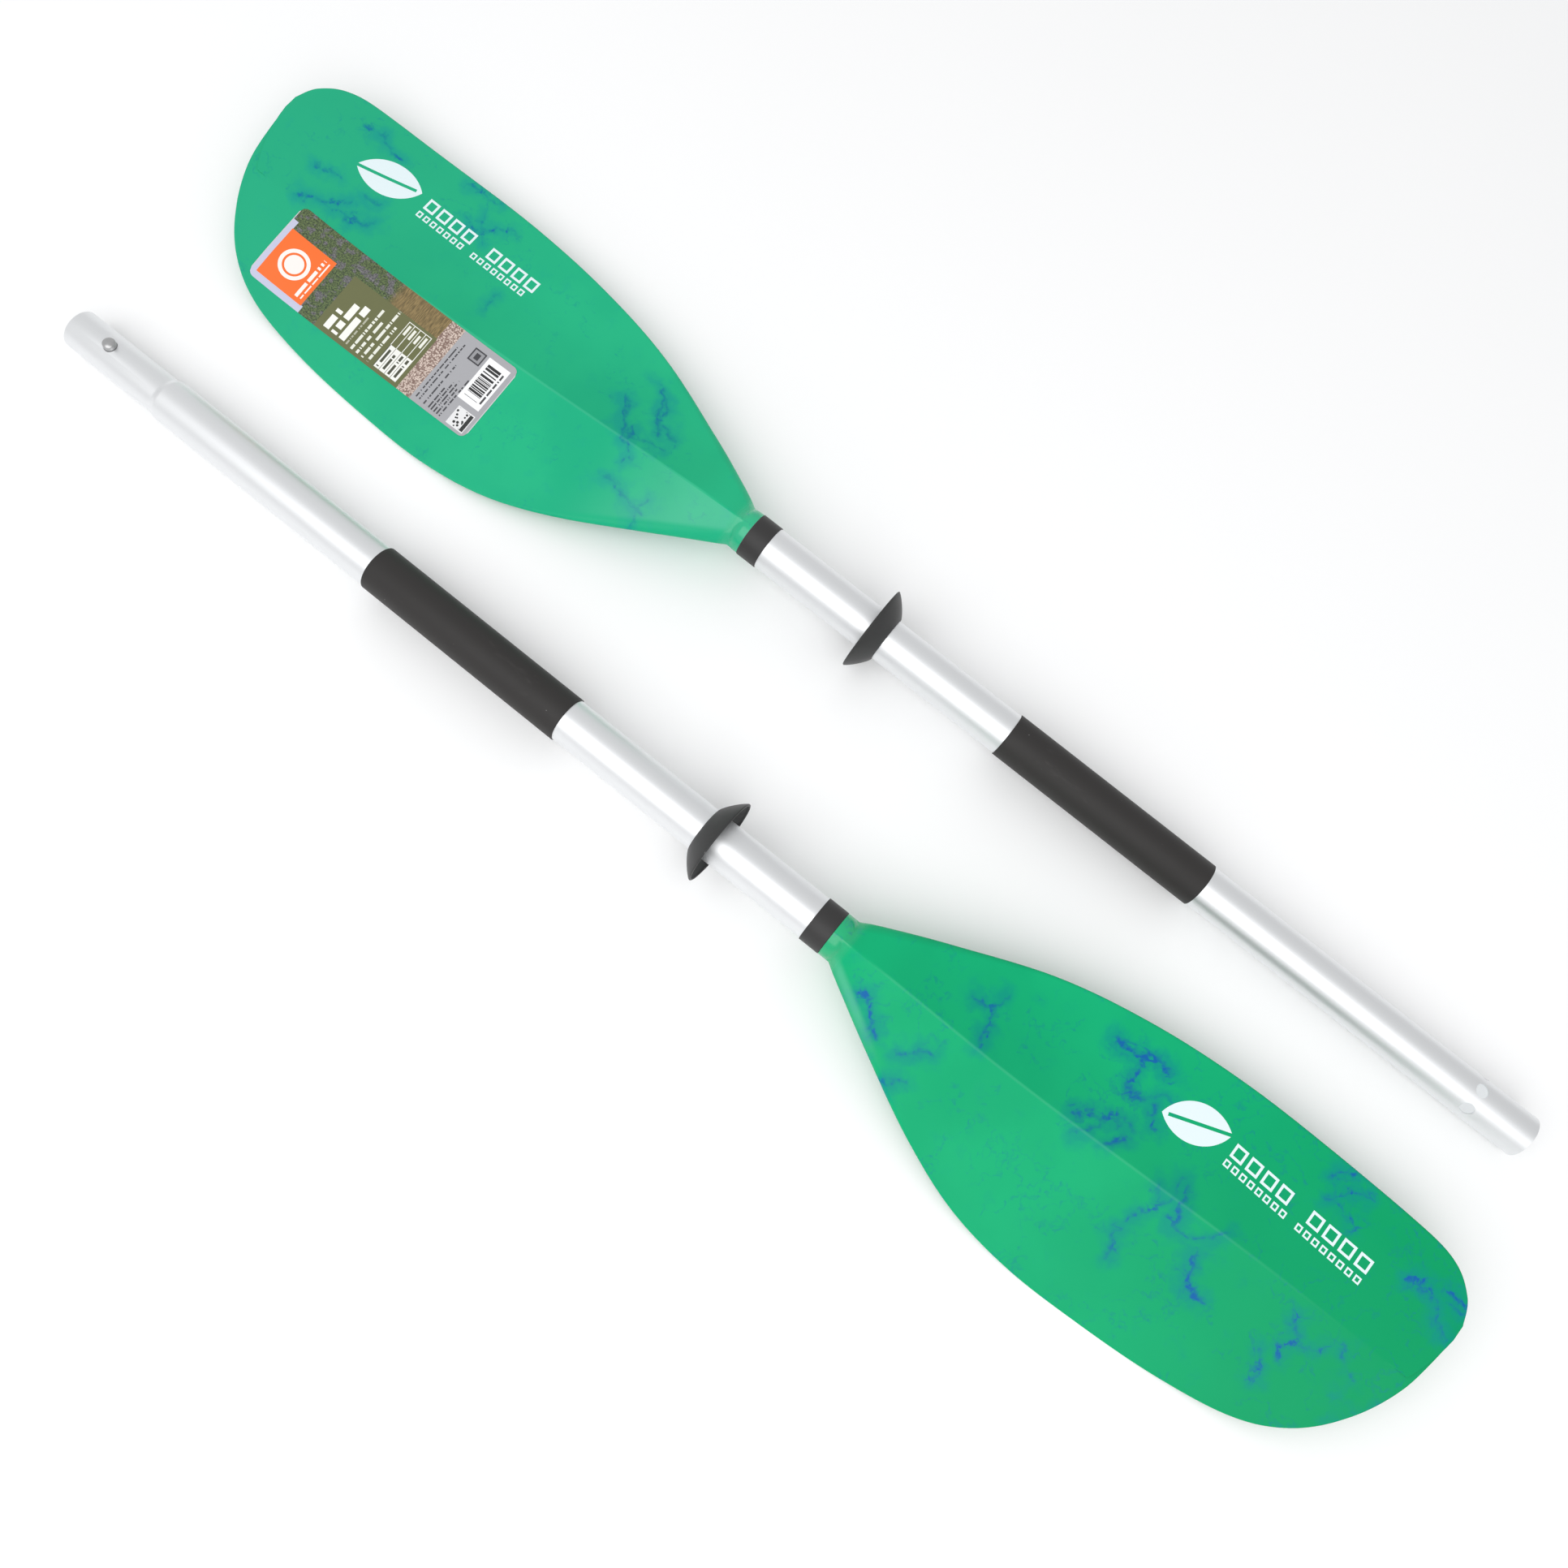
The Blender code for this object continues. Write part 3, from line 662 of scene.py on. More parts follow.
def marbled(shader, side, flat, metres, tones):
    """Green that changes towards the tip, with blue that has flowed into it."""
    green, deep, tip, haze = tones
    bent = drifted(shader, drifted(shader, flat, 0.085, 9.0), 0.33, 5.0)
    total = shader.node("ShaderNodeAttribute", "Fac", {"attribute_name": "blue"})
    round_it = shader.node("ShaderNodeAttribute", "Fac", {"attribute_name": "blue_haze"})
    cloud = shader.minus(shader.noise(bent, 0.24, 6.0, 0.72), 0.5)
    smoke = shader.minus(shader.noise(bent, 0.07, 4.0, 0.60), 0.5)
    wisps = shader.most(vein_level(shader, bent, 0.034, 0.040, VEINS[side]),
                        vein_level(shader, bent, 0.062, 0.060, VEINS[side]))
    level = shader.plus(shader.times(cloud, 1.25), total)
    level = shader.plus(level, shader.times(wisps, WISPS[side]))
    mist = shader.plus(round_it, shader.times(smoke, 1.5))
    broad = shader.noise(bent, 0.012, 3.0, 0.5)
    base = shader.mix(shader.step(0.35, 0.68, broad), green, deep)
    base = shader.mix(shader.step(0.17, 0.43, metres), base, tip)
    paint = shader.mix(shader.times(shader.step(0.05, 0.80, mist), 0.60), base, haze)
    teal = shader.times(shader.step(0.24, 0.90, level), 0.70)
    blue = shader.times(shader.step(0.60, 1.25, level), 0.74)
    return shader.mix(blue, shader.mix(teal, paint, TEAL), BLUE)


def creased(shader, paint, metres, off):
    """The paint with a soft shade on the narrow side of the crease and a faint glint on it."""
    run = shader.times(shader.step(0.020, 0.050, metres),
                       shader.step(0.40, 0.24, metres))
    line = shader.times(shader.step(1.3, 0.2, shader.math("ABSOLUTE", off)), run)
    shade = shader.times(shader.step(70.0, 0.0, off), shader.step(0.0, 1.5, off))
    shade = shader.times(shade, run)
    shade = shader.times(shade, shader.math("MULTIPLY_ADD", run, 0.04, 0.12))
    paint = shader.mix(shade, paint, CREASE_SHADE)
    return shader.mix(shader.times(line, 0.07), paint, CREASE_GLINT)


def neck_sheen(shader, side, along, metres, wide):
    """Where the wide face is painted pale with sheen beside the neck: all of it, or a strip by the
    edge.
    """
    if side == "left":
        face = shader.times(shader.step(0.2, 1.0, wide),
                            shader.times(shader.step(0.120, 0.030, metres),
                                         shader.step(0.012, 0.016, metres)))
        rolled = shader.plus(shader.times(along, 0.55), 3.0)
        inner = shader.step(1.5, -3.0, shader.minus(wide, rolled))
        return shader.times(face, inner)
    edge = shader.plus(shader.times(along, 0.56), 5.5)
    strip = shader.math("ABSOLUTE", shader.minus(wide, edge))
    return shader.times(shader.step(5.0, 0.5, strip),
                        shader.times(shader.step(0.075, 0.035, metres),
                                     shader.step(0.008, 0.018, metres)))


def blade_material(side, *tones):
    """Moulded polypropylene: marbled green with plain printed marks."""
    shader = Shader(side + "_blade_marbled")
    metres, y, _ = shader.axes(shader.coordinates())
    along = shader.times(metres, 1000.0)
    across = shader.times(y, 1000.0 * NARROW_SIDE[side])
    flat = shader.vector(along, across)
    paint = marbled(shader, side, flat, metres, tones)
    bow = shader.times(shader.step(*CREASE_BENDS, metres), CREASE_BOW[side] * 1000)
    off = shader.minus(across, bow)
    paint = creased(shader, paint, metres, off)
    sheen = neck_sheen(shader, side, along, metres, shader.times(off, -1.0))
    # Painted sheen: reflected light painted as pale green on the wide face beside the neck
    paint = shader.mix(shader.times(sheen, SHEEN[side]), paint, PAINTED_SHEEN_GREEN)
    mark = leaf_mask(shader, along, across, PRINTS[side]["leaf"])
    for row in PRINTS[side]["rows"]:
        mark = shader.most(mark, box_row(shader, along, across, row))
    paint = shader.mix(mark, paint, PRINT_WHITE)
    smear = shader.noise(flat, 0.045, 3.0, 0.6)
    rough = shader.plus(shader.times(smear, 0.10), 0.30)
    shader.bump(shader.noise(flat, 2.2, 2.0, 0.5), 0.05, 0.0002)
    boss = shader.step(0.016, 0.011, metres)
    gloss = shader.plus(shader.times(boss, 0.45), 0.12)
    rough = shader.minus(rough, shader.times(boss, 0.15))
    return shader.finish(Base_Color=paint, Roughness=rough, IOR=1.49, Specular_IOR_Level=gloss)


INNER_GLOW = 0.16           # light that the inner wall gives off, to keep the holes from going black


def aluminium_material(necked):
    """Satin anodised tube with faint drawing lines along it, and a dull inner wall."""
    shader = Shader("satin_aluminium_necked_tube" if necked else "satin_aluminium_tube")
    place = shader.coordinates()
    _, y, z = shader.axes(place)
    lines = shader.noise(shader.scaled(place, 6.0, 900.0, 900.0), 1.0, 3.0, 0.6)
    cloud = shader.noise(place, 60.0, 3.0, 0.5)
    tone = shader.mix(shader.times(lines, 0.30), (238, 239, 240), (222, 224, 226))
    tone = shader.mix(shader.times(cloud, 0.15), tone, (226, 229, 231))
    out = shader.math("SQRT", shader.plus(shader.times(y, y),
                                          shader.times(z, z)))
    inside = shader.math("LESS_THAN", out, NECK_RADIUS - TUBE_WALL / 2)
    bore = shader.math("LESS_THAN", out, TUBE_RADIUS - 0.9 * TUBE_WALL)
    straight = TUBE_END + NECK_LENGTH + NECK_RAMP if necked else TUBE_END - 0.01
    main = shader.math("GREATER_THAN", shader.axes(place)[0], straight)
    inside = shader.most(inside, shader.times(bore, main))
    tone = shader.mix(inside, tone, (236, 238, 239))
    rough = shader.plus(shader.times(lines, 0.10), 0.37)
    metal = shader.minus(0.95, shader.times(inside, 0.75))
    shader.bump(lines, 0.02, 0.0001)
    glow = shader.times(inside, INNER_GLOW)
    return shader.finish(Base_Color=tone, Metallic=metal, Roughness=rough,
                         Emission_Color=(1.0, 1.0, 1.0, 1.0), Emission_Strength=glow)


def sleeve_material(name, tone, roughness, grain_scale):
    """Black sleeve with a fine grain, faint scuffs and dust specks."""
    shader = Shader(name)
    place = shader.coordinates()
    grain = shader.noise(place, grain_scale, 3.0, 0.6)
    smear = shader.noise(shader.scaled(place, 0.35, 1.0, 1.0), 90.0, 4.0, 0.6)
    worn = shader.step(0.62, 0.80, smear)
    dust = shader.step(0.80, 0.84, shader.noise(place, 420.0, 1.0, 0.4))
    light = tuple(min(255, v + 26) for v in tone)
    base = shader.mix(shader.times(worn, 0.35), tone, light)
    base = shader.mix(shader.times(dust, 0.35), base, (150, 150, 148))
    rough = shader.plus(shader.times(smear, 0.15), roughness)
    shader.bump(grain, 0.12, 0.0002)
    return shader.finish(Base_Color=base, Roughness=rough, Specular_IOR_Level=0.35)


def steel_material(name, tone, roughness, made):
    """Plain steel with fine wear."""
    shader = Shader(name, made)
    place = shader.coordinates()
    wear = shader.noise(place, 700.0, 3.0, 0.6)
    base = shader.mix(shader.times(wear, 0.5), tone, tuple(v - 40 for v in tone))
    rough = shader.plus(shader.times(wear, 0.15), roughness)
    return shader.finish(Base_Color=base, Metallic=1.0, Roughness=rough)


def foam_material():
    """Closed-cell foam."""
    shader = Shader("closed_cell_foam", False)
    place = shader.coordinates()
    cells = shader.node("ShaderNodeTexVoronoi", 0, None, Vector=place, Scale=900.0)
    base = shader.mix(cells, (205, 205, 198), (232, 232, 226))
    shader.bump(cells, 0.5, 0.0003)
    return shader.finish(Base_Color=base, Roughness=0.9)


# ---------------------------------------------------------------- label


class LabelPrint(Shader):
    """The label's print. Places are mm from its end by the blade's tip and its narrow-edge side."""

    def __init__(self):
        super().__init__("label_print")
        self.uv = self.node("ShaderNodeUVMap", 0, {"uv_map": "label"})
        self.u, self.v, _ = self.axes(self.uv)

    def box(self, u0, u1, v0, v1):
        """1 inside a box."""
        return self.times(self.near(self.u, (u0 + u1) / 2, (u1 - u0) / 2),
                          self.near(self.v, (v0 + v1) / 2, (v1 - v0) / 2))

    def words(self, lines, start, ends, half, pitch, share, seed):
        """Rows of dashes of uneven length that run across the label."""
        total = 0.0
        cell = self.math("FLOOR", self.math("DIVIDE", self.v, pitch))
        for k, (line, end) in enumerate(zip(lines, ends)):
            key = self.plus(cell, seed + 37.0 * k)
            chance = self.node("ShaderNodeTexWhiteNoise", 0, {"noise_dimensions": "1D"}, W=key)
            dash = self.math("LESS_THAN", chance, share)
            part = self.times(self.box(line - half, line + half, end, start), dash)
            total = self.most(total, part)
        return total


def label_view(film):
    """Leaves and stones, then water, then gravel, in place of the picture."""
    leaf_fine = film.noise(film.uv, 0.9, 4.0, 0.75)
    leaf_big = film.noise(film.uv, 0.16, 3.0, 0.6)
    rock = film.node("ShaderNodeTexVoronoi", 0, None, Vector=film.scaled(film.uv, 1.0, 0.6, 1.0),
                     Scale=0.55)
    leaves = film.mix(film.step(0.38, 0.62, leaf_fine), (44, 56, 40), (104, 122, 74))
    stones = film.mix(film.step(0.30, 0.75, leaf_fine), (52, 52, 54), (140, 138, 140))
    view = film.mix(film.step(0.50, 0.60, leaf_big), leaves, stones)
    view = film.mix(film.times(film.step(0.9, 1.5, rock), 0.3), view, (40, 42, 38))
    ripple = film.noise(film.scaled(film.uv, 1.6, 0.15, 1.0), 1.0, 3.0, 0.6)
    water = film.mix(film.step(0.35, 0.65, ripple), (98, 84, 52), (150, 128, 84))
    pebble = film.node("ShaderNodeTexVoronoi", 0, None, Vector=film.uv, Scale=0.95)
    gravel = film.mix(film.step(0.15, 0.75, pebble), (226, 208, 196), (132, 108, 98))
    shore = film.plus(film.u, film.times(leaf_fine, 8.0))
    view = film.mix(film.step(84.0, 92.0, shore), view, water)
    bank = film.plus(film.u, film.times(film.v, 0.05))
    return film.mix(film.math("GREATER_THAN", bank, 124.5), view, gravel)


def label_badge(film, paint):
    """A pale border, and an orange square with a round badge and two rows of dashes."""
    lilac = film.most(film.box(-1, 4.4, 11, 60), film.box(-1, 42, 52.5, 60))
    paint = film.mix(lilac, paint, (196, 198, 222))
    paint = film.mix(film.box(4, 40.5, 16.5, 53), paint, (246, 112, 40))
    dx = film.minus(film.u, 20.0)
    dy = film.minus(film.v, 34.5)
    far = film.math("SQRT", film.plus(film.times(dx, dx),
                                      film.times(dy, dy)))
    badge = film.plus(film.math("LESS_THAN", far, 6.4), film.near(far, 9.2, 1.3))
    badge = film.most(badge, film.words([34.0], 50.0, [20.0], 1.2, 1.7, 0.75, 3.0))
    badge = film.most(badge, film.words([37.4], 50.0, [20.0], 0.5, 1.1, 0.7, 9.0))
    return film.mix(badge, paint, (247, 241, 236))


def label_facts(film, paint):
    """An olive panel with a title, notes and a table, all of dashes."""
    paint = film.mix(film.box(55, 124.5, 15.5, 60), paint, (104, 107, 68))
    title = film.words([62.5, 69.0, 75.5], 54.0, [39.0, 30.0, 27.0], 2.3, 2.6, 0.86, 21.0)
    lines = film.words([80.0], 54.5, [32.0], 0.6, 0.8, 0.7, 55.0)
    notes = film.words([84.6, 89.2, 93.8, 98.4], 55.0, [22.0, 29.0, 16.0, 26.0],
                       0.95, 0.9, 0.72, 71.0)
    paint = film.mix(film.times(lines, 0.45), paint, (236, 236, 220))
    paint = film.mix(title, paint, (244, 244, 238))
    paint = film.mix(notes, paint, (232, 233, 222))
    table = film.box(103, 121.5, 37, 54.8)
    for k in range(5):
        rule = film.box(102.8 + 4.6 * k, 103.3 + 4.6 * k, 17.5, 54.8)
        table = film.most(table, rule)
    for edge in (17.5, 54.3):
        table = film.most(table, film.box(102.8, 121.7, edge, edge + 0.5))
    paint = film.mix(table, paint, (240, 240, 234))
    rules = film.box(102.8, 103.3, 37, 54.8)
    for k in range(1, 4):
        rules = film.most(rules, film.box(102.9 + 4.6 * k, 103.2 + 4.6 * k, 37, 54.8))
    rows = [105.3, 109.9, 114.5, 119.1]
    names = film.words(rows, 53.5, [40.0, 41.0, 38.5, 38.5], 0.9, 0.85, 0.75, 91.0)
    paint = film.mix(film.most(names, rules), paint, (74, 76, 60))
    figures = film.words(rows, 27.5, [19.5, 20.0, 20.5, 19.5], 0.9, 1.0, 0.8, 123.0)
    return film.mix(figures, paint, (236, 236, 226))


def label_end(film, paint):
    """The grey end: small dashes, a small square mark, bars and a tiled square."""
    dark = (64, 64, 68)
    paint = film.mix(film.math("GREATER_THAN", film.u, 135.5), paint, (168, 168, 172))
    small = film.words([138.5, 141.3], 54.0, [12.0, 7.0], 0.5, 0.7, 0.68, 7.0)
    body = film.words([145.5, 149.5, 151.8, 154.1, 156.4, 158.7], 55.0,
                      [22.0, 38.0, 32.0, 29.0, 34.0, 25.0], 0.55, 0.75, 0.7, 40.0)
    paint = film.mix(film.most(small, body), paint, (70, 70, 74))
    paint = film.mix(film.box(148, 157.5, 4.5, 14), paint, dark)
    paint = film.mix(film.box(149, 156.5, 5.5, 13), paint, (150, 150, 154))
    paint = film.mix(film.box(151, 154.5, 7.0, 11.5), paint, dark)
    paint = film.mix(film.box(159.5, 177, 4.5, 37.5), paint, (246, 246, 247))
    stripe = film.node("ShaderNodeTexWhiteNoise", 0, {"noise_dimensions": "1D"},
                       W=film.math("FLOOR", film.math("DIVIDE", film.v, 0.42)))
    bars = film.times(film.box(162, 172.5, 8.5, 33.5),
                      film.math("LESS_THAN", stripe, 0.52))
    paint = film.mix(bars, paint, (40, 40, 42))
    paint = film.mix(film.words([174.6], 34.0, [8.0], 0.7, 1.0, 0.6, 17.0), paint, (70, 70, 72))
    paint = film.mix(film.box(164.5, 178, 41.5, 55.5), paint, (232, 232, 233))
    tile = film.node("ShaderNodeTexVoronoi", 0, None, Vector=film.uv, Scale=0.42)
    tiles = film.times(film.box(165.3, 174.3, 42.3, 54.7),
                       film.math("LESS_THAN", tile, 0.42))
    paint = film.mix(tiles, paint, (46, 48, 48))
    return film.mix(film.box(174.8, 177.4, 42.3, 54.7), paint, (46, 48, 48))


def label_material():
    """Printed film: plain panels, a leafy strip and rows of dashes in place of words."""
    film = LabelPrint()
    paint = label_view(film)
    for part in (label_badge, label_facts, label_end):
        paint = part(film, paint)
    border = film.most(film.math("LESS_THAN", film.u, 0.5),
                       film.math("GREATER_THAN", film.u, LABEL_SIZE[0] * 1000 - 0.6))
    paint = film.mix(border, paint, (205, 205, 208))
    return film.finish(Base_Color=paint, Roughness=0.42, IOR=1.45)


def label_mesh():
    """The film, laid on the blade's face, with millimetres along and across it as its UV."""
    rows = 150
    columns = 48
    length, width = LABEL_SIZE
    top = []
    spots = []
    for i in range(rows + 1):
        u = (i / rows - 0.5) * length
        past = max(0.0, abs(u) - length / 2 + LABEL_CORNER) / LABEL_CORNER
        inset = LABEL_CORNER * (1 - sqrt(max(0.0, 1 - past**2)))
        for j in range(columns + 1):
            v = (j / columns - 0.5) * (width - 2 * inset)
            x = LABEL_CENTRE[0] - u
            y = LABEL_CENTRE[1] - v
            top.append((x, -y, face_height("left", x, y) + LABEL_LIFT))
            spots.append(((u + length / 2) * 1000, (v + width / 2) * 1000))
    count = len(top)
    low = [(x, y, z - LABEL_THICKNESS) for x, y, z in top]
    faces = []
    for i in range(rows):
        for j in range(columns):
            a = i * (columns + 1) + j
            b = a + columns + 1
            faces.append((a, b, b + 1, a + 1))
            faces.append((count + a, count + a + 1, count + b + 1, count + b))
    rim = list(range(columns + 1))
    rim += [i * (columns + 1) + columns for i in range(1, rows + 1)]
    rim += [rows * (columns + 1) + j for j in range(columns - 1, -1, -1)]
    rim += [i * (columns + 1) for i in range(rows - 1, 0, -1)]
    for a, b in zip(rim, rim[1:] + rim[:1]):
        faces.append((a, b, count + b, count + a))
    mesh = solid_mesh("product_label_print", top + low, faces, 50)
    layer = mesh.uv_layers.new(name="label")
    for loop in mesh.loops:
        layer.data[loop.index].uv = spots[loop.vertex_index % count]
    return mesh


# ---------------------------------------------------------------- pieces


def arc(cx, cr, radius, start, end, steps):
    """Points (along, radius) on an arc, angles in degrees from +along towards +radius."""
    result = []
    for k in range(steps + 1):
        a = radians(start + (end - start) * k / steps)
        result.append((cx + radius * cos(a), cr + radius * sin(a)))
    return result


def tube_profile(side):
    """Tube wall with softly broken end edges."""
    start = -0.0003
    end = TUBE_END
    soft = 0.0002
    if side == "left":
        outer = [(start, TUBE_RADIUS), (end + soft, TUBE_RADIUS), (end, TUBE_RADIUS - soft)]
    else:
        shoulder = end + NECK_LENGTH
        outer = [(start, TUBE_RADIUS)]
        for k in range(13):
            t = k / 12
            x = shoulder + NECK_RAMP * (0.85 - 0.7 * t)
            outer.append((x, TUBE_RADIUS + (NECK_RADIUS - TUBE_RADIUS) * smooth_step(0, 1, t)))
        outer += [(end + 0.0006, NECK_RADIUS), (end + 0.0002, NECK_RADIUS - 0.0001),
                  (end, NECK_RADIUS - 0.0004)]
    inner = [(x, r - TUBE_WALL) for x, r in reversed(outer[:-2])]
    rim = (end, inner[0][1] + soft)
    return outer + [rim, (end + soft, inner[0][1])] + inner


def collar_profile(near, far, radius):
    """A thin sleeve with rounded outer edges."""
    inner = TUBE_RADIUS + SLEEVE_GAP
    soft = min(0.00025, (radius - inner) * 0.6)
    return (
        [(near, inner)] + arc(near - soft, radius - soft, soft, 0, 90, 3)
        + arc(far + soft, radius - soft, soft, 90, 180, 3) + [(far, inner)]
    )


def dish(rim, depth, bore, rise, steps):
    """Points from a rim to the bore on a shallow dome, a little fuller than a cone."""
    result = []
    for k in range(steps + 1):
        t = k * pi / 2 / steps
        result.append((rim - depth * sin(t) ** RING_FULLNESS, bore + rise * cos(t) ** RING_FULLNESS))
    return result


def ring_profile(rim):
    """Rubber dome cup: rounded lip, dome to the bore, and the collar inside the cup."""
    bore = TUBE_RADIUS + 0.0003
    rise = RING_RADIUS - bore - 0.0008
    dome = dish(rim, RING_DEPTH, bore + 0.0008, rise, 22)
    inside = dish(rim - 0.0004, RING_DEPTH - RING_WALL, bore + 0.0008, rise - RING_WALL, 22)
    inside = [point for point in inside if point[1] > RING_COLLAR_RADIUS]
    end = rim - RING_DEPTH + 0.0070
    collar = [(rim - RING_DEPTH, bore), (end - 0.0003, bore), (end, bore + 0.0003)]
    collar += arc(end - 0.0006, RING_COLLAR_RADIUS - 0.0006, 0.0006, 0, 90, 4)
    collar += [(inside[-1][0], RING_COLLAR_RADIUS)]
    lip = arc(rim, RING_RADIUS - RING_WALL / 2, RING_WALL / 2, -80, 80, 8)
    return dome + collar + list(reversed(inside)) + lip


def pierced(mesh, along, turn, radius):
    """The tube mesh with a round hole through its upper wall."""
    body = bmesh.new()
    bmesh.ops.create_cone(body, cap_ends=True, segments=48, radius1=radius, radius2=radius,
                          depth=0.016)
    body.transform(Matrix.Translation((along, 0, 0)) @ Matrix.Rotation(turn, 4, "X")
                   @ Matrix.Translation((0, 0, 0.0105)))
    drill = bpy.data.meshes.new("drill")
    body.to_mesh(drill)
    body.free()
    cutter = bpy.data.objects.new("drill", drill)
    blank = bpy.data.objects.new("blank", mesh)
    for thing in (cutter, blank):
        bpy.context.scene.collection.objects.link(thing)
    modifier = blank.modifiers.new("hole", "BOOLEAN")
    modifier.operation = "DIFFERENCE"
    modifier.object = cutter
    bpy.context.view_layer.update()
    made = bpy.data.meshes.new_from_object(
        blank.evaluated_get(bpy.context.evaluated_depsgraph_get()))
    for thing in (cutter, blank):
        bpy.data.objects.remove(thing, do_unlink=True)
    made.shade_smooth()
    made.set_sharp_from_angle(angle=radians(40))
    return made


def button_mesh():
    """Domed button with its flange, in the frame of the right half."""
    top = NECK_RADIUS + BUTTON_PROUD
    crown = 0.0017
    steps = 14
    profile = [
        (BUTTON_RADIUS * sin(k * pi / 2 / steps), top - crown * (1 - cos(k * pi / 2 / steps)))
        for k in range(steps + 1)
    ]
    profile += [(BUTTON_RADIUS, 0.0104), (BUTTON_RADIUS + 0.0002, 0.0102), (0.0050, 0.0102),
                (0.0050, 0.0092), (0.0, 0.0092)]
    body = bmesh.new()
    count = 48
    rings = []
    for r, z in profile:
        if r == 0.0:
            rings.append([body.verts.new((0, 0, z))])
        else:
            rings.append([
                body.verts.new((r * cos(2 * pi * k / count), r * sin(2 * pi * k / count), z))
                for k in range(count)
            ])
    for one, two in zip(rings, rings[1:]):
        for k in range(count):
            a = one[k % len(one)]
            b = one[(k + 1) % len(one)]
            c = two[(k + 1) % len(two)]
            d = two[k % len(two)]
            body.faces.new(list(dict.fromkeys((a, b, c, d))))
    bmesh.ops.recalc_face_normals(body, faces=body.faces)
    body.transform(Matrix.Translation((BUTTON_ALONG, 0, 0))
                   @ Matrix.Rotation(radians(-BUTTON_TURN), 4, "X"))
    mesh = bpy.data.meshes.new("snap_button_dome")
    body.to_mesh(mesh)
    body.free()
    mesh.shade_smooth()
    mesh.set_sharp_from_angle(angle=radians(40))
    return mesh


def build_half(side, materials):
    """Every visible piece of one half."""
    body = side + "_half"
    add_piece(side + "_blade_moulding", blade_mesh(side + "_blade_moulding", side),
              side, body, materials[side + "_blade"], side + "_blade")
    tube = lathe(side + "_tube", tube_profile(side))
    if side == "left":
        for step in (-1, 0, 1):
            tube = pierced(tube, HOLE_ALONG, radians(BUTTON_TURN + 60 * step), BUTTON_HOLE_RADIUS)
    else:
        tube = pierced(tube, BUTTON_ALONG, radians(-BUTTON_TURN), BUTTON_HOLE_RADIUS)
    add_piece(side + "_tube", tube, side, body, materials[side + "_tube"], side + "_shaft_tube")
    add_piece(side + "_band", lathe(side + "_band", collar_profile(BAND_LIP, -BAND_LENGTH,
                                                                   BAND_RADIUS)),
              side, body, materials["band"], side + "_joint_band")
    carrier = "left_half" if side == "left" else "right_carrier"
    add_piece(side + "_grip", lathe(side + "_grip", collar_profile(GRIP_NEAR, GRIP_FAR,
                                                                   GRIP_RADIUS)),
              side, carrier, materials["grip"], side + "_grip_sleeve")
    add_piece(side + "_ring", lathe(side + "_ring", ring_profile(RING_RIM[side]), 50), side,
              side + "_ring", materials["rubber"], side + "_drip_ring")


def carried(node, material):
    """A CAD node whose shape is right, with its finished material."""
    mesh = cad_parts[node].data
    mesh.materials.clear()
    mesh.materials.append(material)


# ---------------------------------------------------------------- floor, light and camera


def build_stage():
    """Plain pale floor."""
    mesh = bpy.data.meshes.new("floor")
    mesh.from_pydata([(-6, -6, 0), (6, -6, 0), (6, 6, 0), (-6, 6, 0)], [], [(0, 1, 2, 3)])
    floor = bpy.data.objects.new("floor", mesh)
    bpy.context.scene.collection.objects.link(floor)
    shader = Shader("pale_floor", False)
    cloud = shader.noise(shader.coordinates(), 2.0, 2.0, 0.5)
    tone = shader.mix(cloud, (252, 252, 252), (254, 254, 254))
    mesh.materials.append(shader.finish(Base_Color=tone, Roughness=0.6))


def add_area(name, place, aim, size, power):
    """A soft square light."""
    light = bpy.data.lights.new(name, "AREA")
    light.shape = "RECTANGLE"
    light.size, light.size_y = size
    light.energy = power
    thing = bpy.data.objects.new(name, light)
    bpy.context.scene.collection.objects.link(thing)
    thing.location = place
    thing.rotation_euler = (Vector(aim) - Vector(place)).to_track_quat("-Z", "Y").to_euler()


SKY_COLOUR = (0.985, 0.992, 1.0, 1.0)
SKY_STRENGTH = 0.78
DIM_STRENGTH = 0.66
DIM_SIDE = (0.72, 0.60, 0.34)


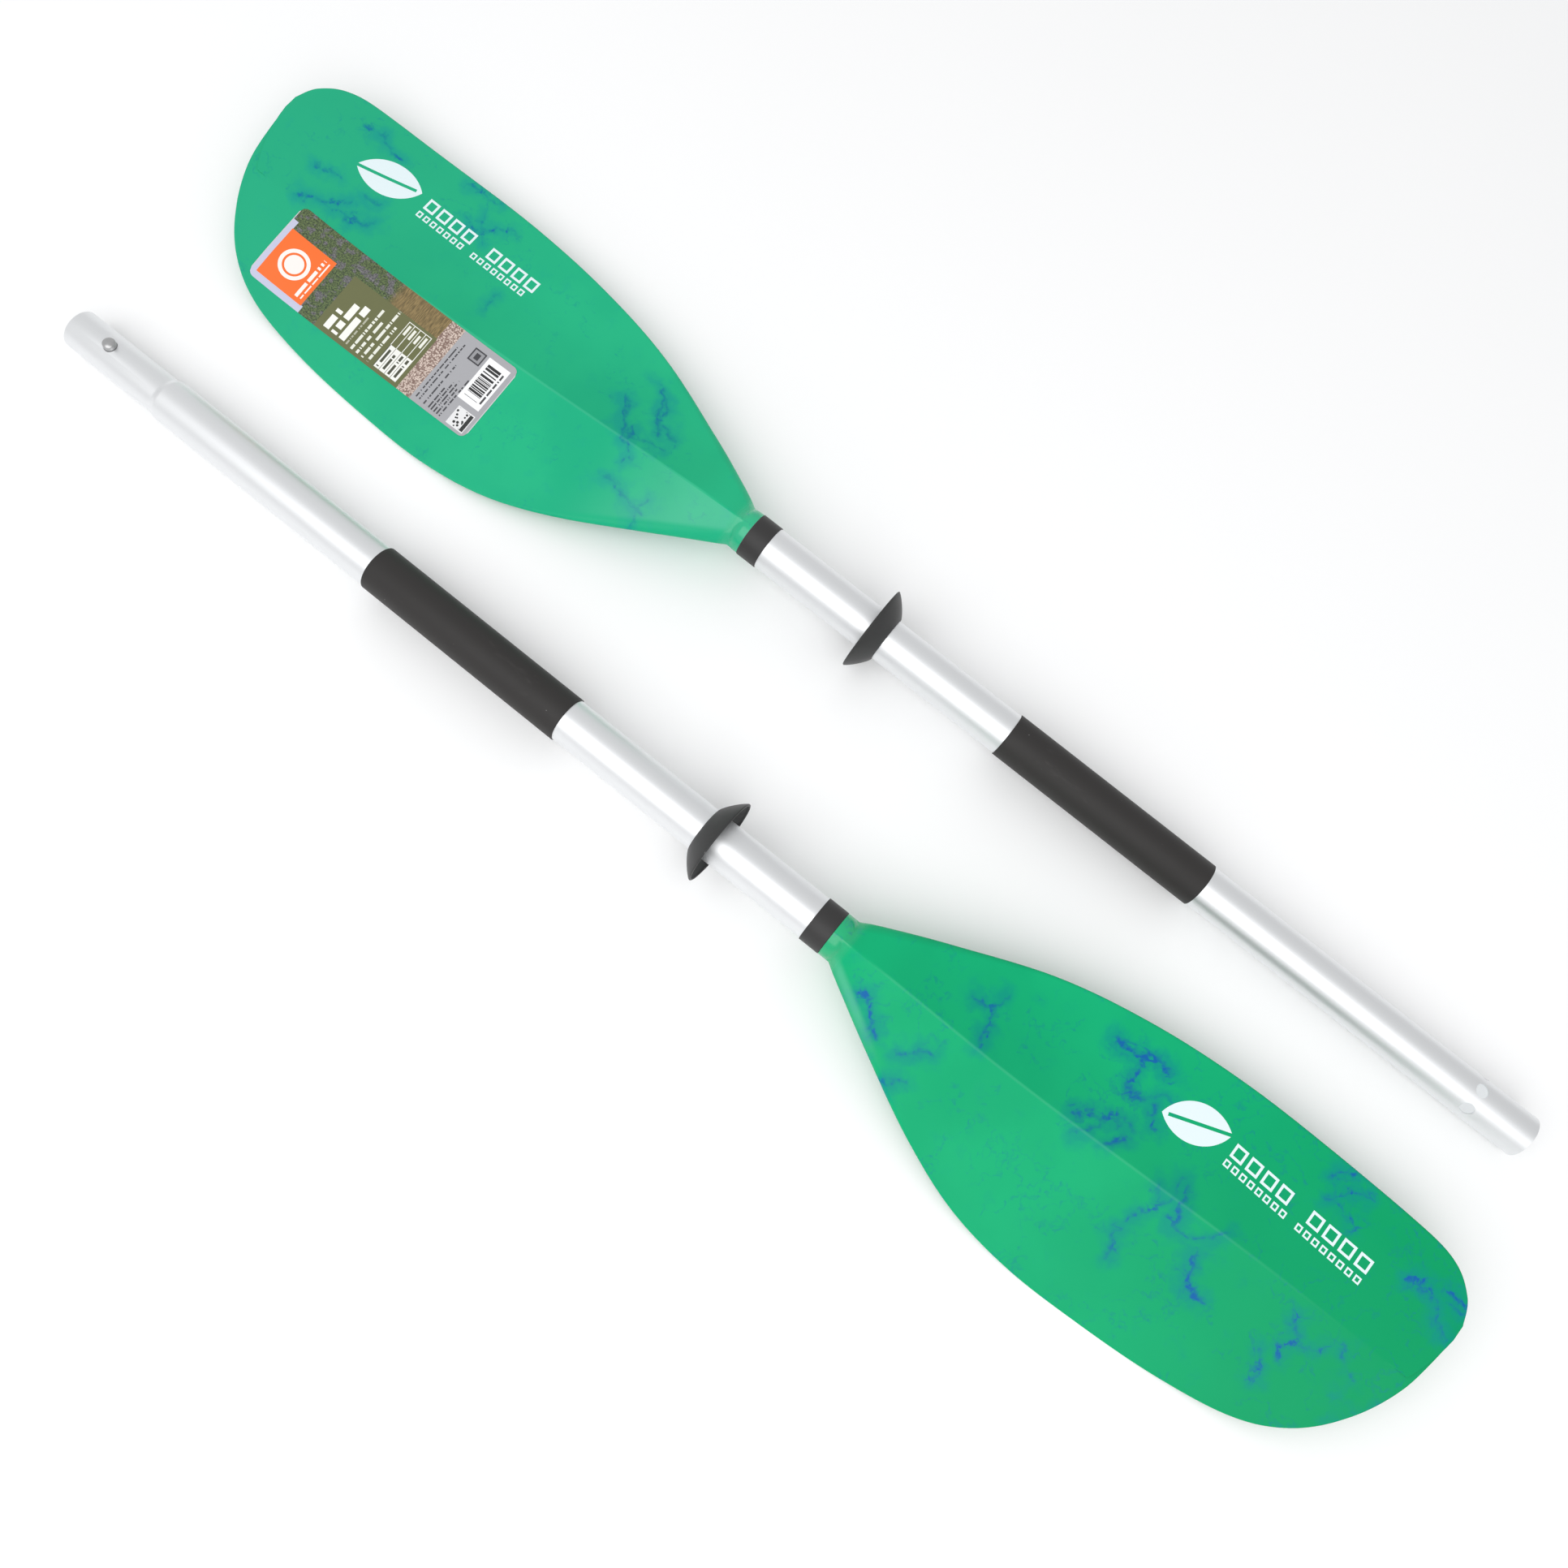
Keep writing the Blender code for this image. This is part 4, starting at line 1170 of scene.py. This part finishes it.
def build_light():
    """Soft white surroundings that dim towards one side, and one large light overhead."""
    world = bpy.data.worlds.new("studio")
    bpy.context.scene.world = world
    world.use_nodes = True
    nodes = world.node_tree.nodes
    links = world.node_tree.links
    background = nodes["Background"]
    background.inputs["Color"].default_value = SKY_COLOUR
    direction = nodes.new("ShaderNodeTexCoord").outputs["Generated"]
    facing = nodes.new("ShaderNodeVectorMath")
    facing.operation = "DOT_PRODUCT"
    facing.inputs[1].default_value = DIM_SIDE
    fall = nodes.new("ShaderNodeMapRange")
    fall.inputs["From Min"].default_value = 0.2
    fall.inputs["To Min"].default_value = SKY_STRENGTH
    fall.inputs["To Max"].default_value = DIM_STRENGTH
    links.new(direction, facing.inputs[0])
    links.new(facing.outputs["Value"], fall.inputs["Value"])
    links.new(fall.outputs[0], background.inputs["Strength"])
    add_area("overhead", (0.05, -1.15, 1.75), (0, 0, 0), (3.0, 1.8), 26)
    bpy.context.scene.view_settings.view_transform = "Standard"


def build_camera():
    """The photo's viewing angle, which was fitted to the tubes, bands, grips and rings."""
    data = bpy.data.cameras.new("camera")
    data.sensor_width = 36.0
    data.lens = 33.679
    camera = bpy.data.objects.new("camera", data)
    bpy.context.scene.collection.objects.link(camera)
    camera.location = (0.07652, -0.28578, 0.87999)
    camera.rotation_euler = [radians(a) for a in (15.4757, -7.4527, 37.8736)]
    data.clip_start = 0.01
    bpy.context.scene.camera = camera


def main():
    """Build everything."""
    materials = {
        "left_blade": blade_material("left", (37, 182, 131), (30, 174, 128), (38, 171, 128),
                                     (18, 148, 146)),
        "right_blade": blade_material("right", (14, 175, 116), (8, 168, 112), (0, 155, 97),
                                      (4, 140, 136)),
        "left_tube": aluminium_material(False),
        "right_tube": aluminium_material(True),
        "band": sleeve_material("band_black", (50, 49, 49), 0.42, 1500.0),
        "grip": sleeve_material("grip_black", (44, 42, 41), 0.5, 2200.0),
        "rubber": sleeve_material("ring_rubber", (50, 50, 50), 0.38, 1300.0),
        "button": steel_material("button_steel", (190, 190, 190), 0.25, True),
        "pin": steel_material("pin_steel", (190, 190, 190), 0.25, False),
        "spring": steel_material("spring_steel", (150, 150, 154), 0.3, False),
        "foam": foam_material(),
    }
    for side in ("left", "right"):
        build_half(side, materials)
        carried(side + "_tube_plug", materials["foam"])
        carried(side + "_blade_pin", materials["pin"])
    add_piece("snap_button_dome", button_mesh(), "right", "button", materials["button"],
              "snap_button")
    carried("button_spring", materials["spring"])
    add_piece("product_label_print", label_mesh(), "left", "left_half", label_material(),
              "product_label")
    build_stage()
    build_light()
    build_camera()


main()
